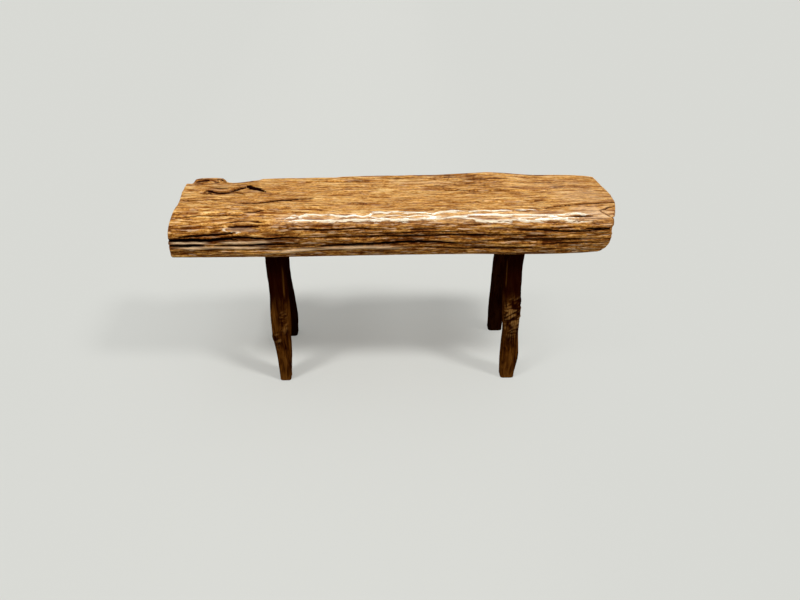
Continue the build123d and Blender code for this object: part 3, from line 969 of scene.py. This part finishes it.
def ring_faces(rows, around):
    """Quads between neighbours on a grid that closes round, wound to face outwards"""
    index = np.arange(rows * around).reshape(rows, around)
    right = np.roll(index, -1, 1)
    return np.stack([index[:-1], right[:-1], right[1:], index[1:]], -1).reshape(-1, 4)


def pole_faces(around, ring_start, pole, flip):
    """Triangles from one ring to its pole"""
    ring = ring_start + np.arange(around)
    ahead = np.roll(ring, -1)
    pair = (ring, ahead) if flip else (ahead, ring)
    return np.stack([np.full(around, pole), *pair], -1)


def ring_mesh(name, grid, poles, maps, grain):
    """Mesh of a closed ring grid in metres, with its colour maps as attributes and the grain's
    run and label as a UV map whose last strip carries on past the seam"""
    rows, around = grid.shape[:2]
    points = np.concatenate([grid.reshape(-1, 3), *[np.reshape(pole, (1, 3)) for pole in poles]]) * MM
    quads = ring_faces(rows, around)
    fans = np.concatenate([
        pole_faces(around, 0, rows * around, False),
        pole_faces(around, (rows - 1) * around, rows * around + 1, True),
    ])
    mesh = bpy.data.meshes.new(name)
    mesh.from_pydata(points.tolist(), [], quads.tolist() + fans.tolist())
    mesh.polygons.foreach_set("use_smooth", np.ones(len(mesh.polygons), bool))
    for key, field in maps.items():
        values = np.concatenate([np.ravel(field), [field[0].mean(), field[-1].mean()]])
        mesh.attributes.new(key, "FLOAT", "POINT").data.foreach_set("value", values.astype(np.float32))
    flat = np.concatenate([grain.reshape(-1, 2), grain[0].mean(0)[None], grain[-1].mean(0)[None]])
    corners = np.concatenate([quads.ravel(), fans.ravel()])
    uv = flat[corners]
    girth = grain[:, -1, 1].mean() - grain[:, 0, 1].mean()
    wraps = (quads[:, :1] % around == around - 1) & (quads % around == 0)
    uv[:quads.size, 1] += np.where(wraps.ravel(), girth * around / (around - 1), 0)
    mesh.uv_layers.new(name="grain").data.foreach_set("uv", (uv * MM).ravel().astype(np.float32))
    mesh.update()
    return mesh


def add_piece(name, mesh, material, slot, *nodes):
    """Puts a finished mesh in the scene in place of its frame nodes"""
    piece = bpy.data.objects.new(name, mesh)
    bpy.context.scene.collection.objects.link(piece)
    mesh.materials.append(material)
    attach(piece, BODY)
    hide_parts(*nodes)
    return piece


# ---------------------------------------------------------------- materials

class Graph:
    """Short hand for a material's nodes: add one, and wire it by giving sockets as values"""

    def __init__(self, name):
        self.material = bpy.data.materials.new(name)
        self.material.use_nodes = True
        self.tree = self.material.node_tree
        self.shader = self.tree.nodes["Principled BSDF"]

    def add(self, kind, inputs=None, **settings):
        node = self.tree.nodes.new("ShaderNode" + kind)
        for key, value in settings.items():
            setattr(node, key, value)
        for key, value in (inputs or {}).items():
            self.put(node.inputs[key], value)
        return node

    def put(self, socket, value):
        if isinstance(value, bpy.types.NodeSocket):
            self.tree.links.new(value, socket)
        else:
            socket.default_value = value

    def value(self, name):
        return self.add("Attribute", attribute_name=name).outputs["Fac"]

    def math(self, operation, *values, clamp=False):
        node = self.add("Math", operation=operation, use_clamp=clamp)
        for socket, value in zip(node.inputs, values):
            self.put(socket, value)
        return node.outputs[0]

    def stretched(self, source, along, across, detail=4.0, rough=0.6, twist=0.0, shift=0.0):
        """Noise whose cells measure the given millimetres along and across the grain"""
        scale = (1000 / along, 1000 / across, 1000 / across)
        placed = self.add("Mapping", {"Vector": source, "Scale": scale, "Location": (shift, shift, shift)})
        noise = self.add("TexNoise", {
            "Vector": placed.outputs[0], "Scale": 1.0, "Detail": detail, "Roughness": rough,
            "Distortion": twist,
        })
        return noise.outputs["Fac"]

    def ramp(self, fac, *stops):
        node = self.add("ValToRGB", {"Fac": fac})
        elements = node.color_ramp.elements
        while len(elements) < len(stops):
            elements.new(0.5)
        for element, (position, colour) in zip(elements, stops):
            element.position = position
            element.color = (*colour, 1)
        return node.outputs["Color"]

    def mix(self, fac, a, b, blend="MIX"):
        node = self.add("Mix", data_type="RGBA", blend_type=blend)
        self.put(node.inputs["Factor"], fac)
        self.put(node.inputs["A"], a if isinstance(a, bpy.types.NodeSocket) else (*a, 1))
        self.put(node.inputs["B"], b if isinstance(b, bpy.types.NodeSocket) else (*b, 1))
        return node.outputs["Result"]

    def mask(self, fac, low, high, falling=False):
        """0 below the low level and 1 above the high one, or the other way round when falling"""
        black, white = (0, 0, 0), (1, 1, 1)
        return self.ramp(fac, *zip((low, high), (white, black) if falling else (black, white)))

    def tinted(self, share, colour, tint):
        """The colour multiplied by a tint, to the given share"""
        return self.mix(share, colour, self.mix(1.0, colour, tint, "MULTIPLY"))

    def add_up(self, total, *terms):
        """The total plus each value times its weight, in turn"""
        for value, weight in terms:
            total = self.math("MULTIPLY_ADD", value, weight, total)
        return total

    def finish(self, colour, rough, height, distance, **constants):
        bump = self.add("Bump", {"Height": height, "Strength": 1.0, "Distance": distance})
        self.put(self.shader.inputs["Base Color"], colour)
        self.put(self.shader.inputs["Roughness"], rough)
        self.put(self.shader.inputs["Normal"], bump.outputs[0])
        for key, value in constants.items():
            self.shader.inputs[key.replace("_", " ")].default_value = value
        return self.material


def log_colour(g, seat, grain, streak, fibre, patch):
    """Tan body streaked along the grain, with pale and dark threads, stains and bleached patches"""
    front = g.value("front")
    flake = g.stretched(grain, 8.5, 4.0, 2, 0.6, 0.8, 5.3)
    fleck = g.stretched(grain, 26, 6.5, 2, 0.5, 0.5, 12.3)
    thread = g.stretched(grain, 34, 4.3, 2, 0.55, 0.4, 16.9)
    aged = g.value("aged")
    tone = g.add_up(
        g.math("MULTIPLY", fibre, 0.9), (streak, 1.5), (flake, 1.5), (patch, 0.7),
        (g.value("hollow"), -0.8), (front, -0.21), (aged, -0.07), (g.value("stain"), -0.5),
        # painted shade along the back edge of the top
        (aged, g.math("MULTIPLY_ADD", streak, 0.7, -0.3)), (g.value("back_edge_shade"), -0.28),
    )
    tone = g.math("SUBTRACT", tone, 1.4, clamp=True)
    colour = g.ramp(tone, (0.0, seat.dark), (0.25, seat.brown), (0.5, seat.tan), (0.72, seat.gold),
                    (0.95, seat.pale))
    light = g.math("MULTIPLY", g.mask(fleck, 0.58, 0.68), 0.45)
    colour = g.mix(g.math("MULTIPLY_ADD", front, -0.25, light, clamp=True), colour, seat.pale)
    pale_share = g.math("MULTIPLY_ADD", front, 0.2, 0.4)
    colour = g.mix(g.math("MULTIPLY", g.mask(thread, 0.56, 0.64), pale_share), colour, seat.worn)
    dark_share = g.math("MULTIPLY_ADD", front, 0.1, 0.35)
    dark_threads = g.mask(thread, 0.37, 0.44, falling=True)
    colour = g.tinted(g.math("MULTIPLY", dark_threads, dark_share), colour, seat.split)
    colour = g.mix(g.math("MULTIPLY", g.value("bleached"), 0.6), colour, seat.worn)
    # Paler on the polished shoulder: worn wood, and in part a painted highlight
    return g.mix(g.math("MULTIPLY", g.value("polish"), 0.2), colour, seat.worn)


def fine_lines(g, grain):
    """Share of painted shade in the hairline splits and round the edges of the checks, and of dark
    seams in the grain
    """
    seam = g.stretched(grain, 150, 6.4, 3, 0.5, 0.15, 21.4)
    seam = g.math("ABSOLUTE", g.math("SUBTRACT", seam, 0.5))
    seam = g.add("MapRange", {
        "Value": seam, "From Min": 0.025, "From Max": 0.0, "To Min": 0.0, "To Max": 0.6,
    }).outputs[0]
    lines = g.math("MAXIMUM", g.math("MULTIPLY", g.value("split"), 0.9), seam, clamp=True)
    return g.math("MAXIMUM", lines, g.math("MULTIPLY", g.value("lip_shade"), 0.7))


def end_colour(g, seat, patch):
    """Growth rings round the pith, slightly wavy and stained in patches"""
    place = g.add("TexCoord").outputs["Object"]
    pith = g.add("Mapping", {
        "Vector": place, "Location": RINGS_OFFSET, "Scale": (0.2, 1, 1),
    }).outputs[0]
    rings = g.add("TexWave", {
        "Vector": pith, "Scale": 58.0, "Distortion": 2.6, "Detail": 3.0, "Detail Scale": 1.6,
    }, wave_type="RINGS", rings_direction="X").outputs["Fac"]
    ends = g.ramp(rings, (0.0, seat.brown), (0.45, seat.tan), (1.0, seat.tan))
    return g.tinted(g.math("MULTIPLY", patch, 0.7), ends, seat.split)


def log_wood(seat):
    """Weathered oiled log: streaked tan, dark in its hollows, painted black as shade in its checks
    and darker round them, pale and glossy on the worn shoulder with painted highlights on its
    strands and on the ridges low in the front, with growth rings on its ends"""
    g = Graph("weathered_log_wood")
    grain = g.add("UVMap", uv_map="grain").outputs[0]
    streak = g.stretched(grain, 70, 7.0, 4, 0.6, 0.3)
    fibre = g.stretched(grain, 34, 2.4, 3, 0.6, 0.2, 3.1)
    patch = g.stretched(grain, 200, 36, 3, 0.55, 0.5, 7.7)
    fray = g.stretched(grain, 24, 4.2, 3, 0.7, 0.5, 28.3)

    colour = log_colour(g, seat, grain, streak, fibre, patch)
    lines = fine_lines(g, grain)
    colour = g.tinted(lines, colour, seat.split)
    fibrous = g.math("MULTIPLY_ADD", fibre, 2.0, -0.3)
    colour = g.mix(g.math("MULTIPLY", g.value("ridge_highlight"), fibrous, clamp=True), colour, seat.ridge_highlight)
    colour = g.mix(g.math("MULTIPLY", g.value("scar"), 0.45), colour, seat.scar)
    # Painted highlight: near-white broken strands along the shoulder, also given a coat
    painted_highlight = g.math("SUBTRACT", g.math("MULTIPLY_ADD", fray, 3.4, g.value("painted_highlight")), 1.7)
    on_strand = g.math("MULTIPLY", g.value("painted_highlight"), 5.0, clamp=True)
    painted_highlight = g.math("MULTIPLY", g.mask(painted_highlight, 0.42, 0.8), on_strand)
    colour = g.mix(painted_highlight, colour, seat.painted_highlight)
    colour = g.mix(g.value("end_grain"), colour, end_colour(g, seat, patch))
    colour = g.mix(g.mask(g.value("check"), 0.15, 0.75), colour, seat.check)

    rough = g.add_up(0.45, (fibre, 0.3), (g.value("polish"), -0.2))
    rough = g.math("MULTIPLY_ADD", g.value("check"), 0.4, rough, clamp=True)
    coat = g.math("MULTIPLY_ADD", g.value("polish"), 0.12, g.math("MULTIPLY", painted_highlight, 0.85), clamp=True)
    g.put(g.shader.inputs["Coat Weight"], coat)
    height = g.add_up(g.math("MULTIPLY", fibre, 0.4), (streak, 0.7), (lines, -0.35))
    return g.finish(colour, rough, height, LOG_BUMP, Coat_Roughness=0.12, Specular_IOR_Level=0.03)


def leg_wood(legs):
    """Dark oiled hewn wood with the grain up the leg, gnarled round its knots, with painted shade
    over the tops under the seat and in the burl's wrinkles, and painted highlights on the burl's
    crests and on one corner of each front leg
    """
    g = Graph("dark_hewn_leg_wood")
    grain = g.add("UVMap", uv_map="grain").outputs[0]
    streak = g.stretched(grain, 60, 4.5, 4, 0.6, 0.4)
    fibre = g.stretched(grain, 20, 1.4, 3, 0.6, 0.2, 3.3)
    patch = g.stretched(grain, 44, 14, 3, 0.6, 0.8, 5.9)
    tone = g.add_up(
        g.math("MULTIPLY", fibre, 0.6), (streak, 0.9), (patch, 1.3), (g.value("hollow"), -0.5),
        (g.value("foot"), 0.2),
    )
    tone = g.math("SUBTRACT", tone, 0.72, clamp=True)
    colour = g.ramp(tone, (0.08, legs.dark), (0.4, legs.brown), (0.85, legs.pale))
    # Painted highlight on the burl's crests, also given a thin coat
    crest = g.math("MULTIPLY", g.value("crest"), g.mask(fibre, 0.42, 0.58))
    colour = g.mix(g.math("MULTIPLY", crest, 0.8), colour, legs.polished)
    colour = g.mix(g.value("shade"), colour, legs.dark)
    streaky = g.math("MULTIPLY_ADD", streak, 1.2, -0.2)
    # Painted highlight along one corner of each front leg
    colour = g.mix(g.math("MULTIPLY", g.value("corner_highlight"), streaky, clamp=True), colour, legs.worn)
    colour = g.mix(g.mask(g.value("check"), 0.1, 0.6), colour, legs.dark)
    rough = g.math("MULTIPLY_ADD", fibre, 0.2, 0.75)
    g.put(g.shader.inputs["Coat Weight"], g.math("MULTIPLY", crest, 0.3))
    height = g.math("MULTIPLY_ADD", streak, 0.6, g.math("MULTIPLY", fibre, 0.4))
    return g.finish(colour, rough, height, LEG_BUMP, Coat_Roughness=0.3, Specular_IOR_Level=0.0)


def wedge_wood(legs):
    """Bare pale wedge wood with fine straight grain up the wedge"""
    g = Graph("bare_wedge_wood")
    place = g.add("TexCoord").outputs["Object"]
    turned = g.add("Mapping", {"Vector": place, "Rotation": (0, np.pi / 2, 0)}).outputs[0]
    streak = g.stretched(turned, 40, 1.8, 3)
    colour = g.ramp(streak, (0.3, legs.wedge_dark), (0.7, legs.wedge_pale))
    return g.finish(colour, g.math("MULTIPLY_ADD", streak, 0.2, 0.5), streak, WEDGE_BUMP)


def studio_floor(studio):
    """Pale matt floor: to the eye and in gloss it is lit by the lamps and partly by itself, the
    more so towards both ends of the bench, where the shadow fades; to bounced light it is a
    plain matt grey"""
    g = Graph("studio_floor")
    nodes, links = g.tree.nodes, g.tree.links
    nodes.remove(g.shader)
    grey = (*studio.floor_bounce, 1)
    matt = g.add("BsdfDiffuse", {"Color": (*studio.floor, 1)})
    glow = g.add("Emission", {"Color": (*studio.background, 1), "Strength": 1.0})
    along = g.add("SeparateXYZ", {"Vector": g.add("TexCoord").outputs["Object"]}).outputs["X"]
    run = g.add("MapRange", {"Value": along, "From Min": -SHADOW_REACH, "From Max": SHADOW_REACH})
    level = studio.shadow_lift
    lift = g.ramp(run.outputs[0], *((0.5 + x / (2 * SHADOW_REACH), (1 - (1 - level) * share,) * 3)
                                    for x, share in SHADOW_SHARES))
    seen = g.add("MixShader", {0: lift, 1: matt.outputs[0], 2: glow.outputs[0]})
    bounce = g.add("BsdfDiffuse", {"Color": grey})
    path = g.add("LightPath").outputs
    indirect = g.math("MAXIMUM", path["Is Glossy Ray"], path["Is Transmission Ray"])
    rays = g.math("MAXIMUM", path["Is Camera Ray"], indirect)
    both = g.add("MixShader", {0: rays, 1: bounce.outputs[0], 2: seen.outputs[0]})
    links.new(both.outputs[0], nodes["Material Output"].inputs["Surface"])
    return g.material


# ---------------------------------------------------------------- settings

def colour_property(name, description, default):
    return FloatVectorProperty(name=name, description=description, default=default, subtype="COLOR",
                               size=3, min=0, max=1)


def strength_property(name, description, default):
    return FloatProperty(name=name, description=description, default=default, min=0)


class SeatSettings(PropertyGroup):
    rings: IntProperty(name="Rings", description="Rings along the log", default=BODY_RINGS, min=60, max=330)
    end_rounding: FloatProperty(name="End rounding", description="Radius worn on the end edges",
                                default=END_ROUNDING * MM, min=0.001, max=0.02, unit="LENGTH")
    pale: colour_property("Pale wood", "Raised, dry fibres", (0.95, 0.66, 0.28))
    gold: colour_property("Golden wood", "Upper fibres", (0.82, 0.44, 0.12))
    tan: colour_property("Tan wood", "Body of the wood", (0.65, 0.30, 0.06))
    brown: colour_property("Brown wood", "Oiled hollows", (0.36, 0.14, 0.024))
    dark: colour_property("Dark wood", "Deep hollows", (0.15, 0.042, 0.003))
    # Tint of the painted shade in the splits and round the checks, also of the dark grain threads and the
    # stained end patches
    split: colour_property("Splits", "Tint inside the fine splits", (0.32, 0.16, 0.03))
    worn: colour_property("Worn wood", "Bleached patches and the polished shoulder", (0.88, 0.60, 0.36))
    # Colour of the pale raised fibres, painted lighter as a highlight
    ridge_highlight: colour_property("Ridges", "Pale raised fibres low in the front", (0.95, 0.68, 0.40))
    # Colour of the painted highlight on the polished strands and the scar's rim
    painted_highlight: colour_property("Gleaming strands", "Polished strands along the shoulder", (0.94, 0.80, 0.58))
    scar: colour_property("Scar", "Smooth scar in the front", (0.46, 0.29, 0.18))
    # Painted shade: the near black of the checks, the knot hole and the end splits
    check: colour_property("Checks", "Inside of the drying checks", (0.013, 0.0015, 0.0003))


class LegSettings(PropertyGroup):
    pale: colour_property("Pale leg wood", "Raised fibres", (0.165, 0.062, 0.010))
    brown: colour_property("Brown leg wood", "Body of the leg wood", (0.066, 0.019, 0.002))
    dark: colour_property("Dark leg wood", "Hollows and shaded tops", (0.011, 0.0008, 0.0002))
    # Colour of the painted highlight on the burl's crests
    polished: colour_property("Polished leg wood", "Crests of the burl", (0.40, 0.21, 0.06))
    # Colour of the painted highlight along one corner of each front leg
    worn: colour_property("Worn leg corners", "Thin polished corners", (0.20, 0.08, 0.012))
    wedge_pale: colour_property("Pale wedge wood", "Wedge wood between its grain lines", (0.60, 0.45, 0.28))
    wedge_dark: colour_property("Wedge grain", "Grain lines of the wedges", (0.42, 0.28, 0.15))


class StudioSettings(PropertyGroup):
    floor: colour_property("Floor", "Colour of the floor", (0.62, 0.626, 0.594))
    background: colour_property("Background", "Brightness of the lit floor and the background",
                                (0.688, 0.695, 0.66))
    floor_bounce: colour_property("Floor bounce", "Floor as it lights the bench from below",
                                  (0.36, 0.36, 0.34))
    floor_size: FloatProperty(name="Floor size", description="Side of the floor", default=30, unit="LENGTH")
    shadow_lift: FloatProperty(name="Shadow lift", default=0.33, min=0, max=1, subtype="FACTOR",
                               description="Share of the floor's own light below the bench")
    overhead: strength_property("Overhead sky", "Brightness of the sky above", 0.62)
    horizon: strength_property("Horizon sky", "Brightness of the sky at eye level", 0.1)
    right_lamp: strength_property("Right lamp", "Strength of the lamp at the right", 1.45)
    left_lamp: strength_property("Left lamp", "Strength of the lamp at the left", 1.3)
    gloss_lamp: strength_property("Gloss lamp", "Power of the lamp behind, seen only in gloss", 105)


# ---------------------------------------------------------------- operators

CAD_BOX_MM = tuple(np.array(corner) / MM for corner in CAD_BOX)


class BENCH_OT_seat(Operator):
    """Build the weathered log seat"""
    bl_idname = "bench.seat"
    bl_label = "Log Seat"

    def execute(self, context):
        seat = context.scene.bench_seat
        grid, poles, maps, label = log_surface(seat)
        mesh = ring_mesh("log_seat", grid, poles, maps, np.stack([grid[..., 0], label], -1))
        add_piece("log_seat", mesh, log_wood(seat), "seat_wood", "seat_log")
        return {"FINISHED"}


class BENCH_OT_legs(Operator):
    """Build the four hewn legs with their tenons, and finish the wedges"""
    bl_idname = "bench.legs"
    bl_label = "Hewn Legs and Wedges"

    def execute(self, context):
        legs = context.scene.bench_legs
        wood = leg_wood(legs)
        for name in LEG_STATIONS:
            grid, poles, maps, grain = leg_surface(name)
            maps = {key: field[::-1] for key, field in maps.items()}
            mesh = ring_mesh("hewn_leg_" + name, grid[::-1], poles[::-1], maps, grain[::-1])
            add_piece("hewn_leg_" + name, mesh, wood, "leg_wood", "leg_" + name)
            points, sides = tenon_prism(name)
            ring = np.arange(sides)
            walls = np.stack([ring, np.roll(ring, -1), np.roll(ring, -1) + sides, ring + sides], -1)
            tenon = bpy.data.meshes.new("tenon_" + name)
            tenon.from_pydata((points * MM).tolist(), [],
                              walls.tolist() + [ring[::-1].tolist(), (ring + sides).tolist()])
            piece = bpy.data.objects.new("tenon_" + name, tenon)
            context.scene.collection.objects.link(piece)
            tenon.materials.append(wood)
            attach(piece, BODY)
        pale = wedge_wood(legs)
        for name in LEG_STATIONS:
            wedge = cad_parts["wedge_" + name]
            wedge.data.materials.clear()
            wedge.data.materials.append(pale)
        return {"FINISHED"}


class BENCH_OT_studio(Operator):
    """Lay the floor, hang the lamps and place the camera"""
    bl_idname = "bench.studio"
    bl_label = "Studio"

    def execute(self, context):
        studio = context.scene.bench_studio
        half = studio.floor_size / 2
        mesh = bpy.data.meshes.new("floor")
        corners = [(-half, -half, 0), (half, -half, 0), (half, half, 0), (-half, half, 0)]
        mesh.from_pydata(corners, [], [(0, 1, 2, 3)])
        mesh.materials.append(studio_floor(studio))
        floor = bpy.data.objects.new("floor", mesh)
        context.scene.collection.objects.link(floor)

        for name, aim, strength in (
            ("right_lamp", RIGHT_LAMP_AIM, studio.right_lamp),
            ("left_lamp", LEFT_LAMP_AIM, studio.left_lamp),
        ):
            lamp = bpy.data.lights.new(name, "SUN")
            lamp.energy = strength
            lamp.angle = LAMP_ANGLE
            sun = bpy.data.objects.new(name, lamp)
            sun.rotation_euler = Vector(aim).to_track_quat("Z", "Y").to_euler()
            context.scene.collection.objects.link(sun)
        lamp = bpy.data.lights.new("gloss_lamp", "AREA")
        lamp.shape = "RECTANGLE"
        lamp.size, lamp.size_y = GLOSS_SIZE
        lamp.energy = studio.gloss_lamp
        strip = bpy.data.objects.new("gloss_lamp", lamp)
        strip.location = GLOSS_PLACE
        strip.rotation_euler = (Vector(GLOSS_PLACE) - Vector(GLOSS_AIM)).to_track_quat("Z", "Y").to_euler()
        strip.visible_diffuse = strip.visible_camera = False
        context.scene.collection.objects.link(strip)

        self.sky(context.scene, studio)
        view = bpy.data.cameras.new("camera")
        view.sensor_width = CAMERA_SENSOR
        view.lens = CAMERA_LENS
        camera = bpy.data.objects.new("camera", view)
        camera.location = CAMERA_PLACE
        camera.rotation_euler = (Vector(CAMERA_PLACE) - Vector(CAMERA_AIM)).to_track_quat("Z", "Y").to_euler()
        context.scene.collection.objects.link(camera)
        context.scene.camera = camera
        context.scene.view_settings.view_transform = "Standard"
        return {"FINISHED"}

    def sky(self, scene, studio):
        """Light from above fading towards eye level; seen directly it is the floor's colour"""
        world = bpy.data.worlds.new("studio")
        world.use_nodes = True
        scene.world = world
        nodes, links = world.node_tree.nodes, world.node_tree.links
        up = nodes.new("ShaderNodeTexCoord").outputs["Generated"]
        split = nodes.new("ShaderNodeSeparateXYZ")
        links.new(up, split.inputs[0])
        height = nodes.new("ShaderNodeMapRange")
        links.new(split.outputs["Z"], height.inputs["Value"])
        height.inputs["From Min"].default_value = 0.0
        height.inputs["From Max"].default_value = 1.0
        height.inputs["To Min"].default_value = studio.horizon
        height.inputs["To Max"].default_value = studio.overhead
        light = nodes["Background"]
        light.inputs["Color"].default_value = (1, 1, 1, 1)
        links.new(height.outputs[0], light.inputs["Strength"])
        seen = nodes.new("ShaderNodeBackground")
        seen.inputs["Color"].default_value = (*studio.background, 1)
        path = nodes.new("ShaderNodeLightPath").outputs
        either = nodes.new("ShaderNodeMath")
        either.operation = "MAXIMUM"
        links.new(path["Is Camera Ray"], either.inputs[0])
        links.new(path["Is Transmission Ray"], either.inputs[1])
        both = nodes.new("ShaderNodeMixShader")
        links.new(either.outputs[0], both.inputs[0])
        links.new(light.outputs[0], both.inputs[1])
        links.new(seen.outputs[0], both.inputs[2])
        links.new(both.outputs[0], nodes["World Output"].inputs["Surface"])


class BENCH_PT_panel(Panel):
    """Buttons and settings of the bench"""
    bl_label = "Rustic Log Bench"
    bl_space_type = "VIEW_3D"
    bl_region_type = "UI"
    bl_category = "Log Bench"

    def draw(self, context):
        for operator, settings in (
            ("bench.seat", context.scene.bench_seat),
            ("bench.legs", context.scene.bench_legs),
            ("bench.studio", context.scene.bench_studio),
        ):
            box = self.layout.box()
            box.operator(operator)
            for name in settings.__annotations__:
                box.prop(settings, name)


CLASSES = (
    SeatSettings, LegSettings, StudioSettings,
    BENCH_OT_seat, BENCH_OT_legs, BENCH_OT_studio, BENCH_PT_panel,
)


def register():
    for cls in CLASSES:
        bpy.utils.register_class(cls)
    bpy.types.Scene.bench_seat = PointerProperty(type=SeatSettings)
    bpy.types.Scene.bench_legs = PointerProperty(type=LegSettings)
    bpy.types.Scene.bench_studio = PointerProperty(type=StudioSettings)


def unregister():
    del bpy.types.Scene.bench_studio
    del bpy.types.Scene.bench_legs
    del bpy.types.Scene.bench_seat
    for cls in reversed(CLASSES):
        bpy.utils.unregister_class(cls)


def main():
    register()
    bpy.ops.bench.seat()
    bpy.ops.bench.legs()
    bpy.ops.bench.studio()


if __name__ == "__main__":
    main()
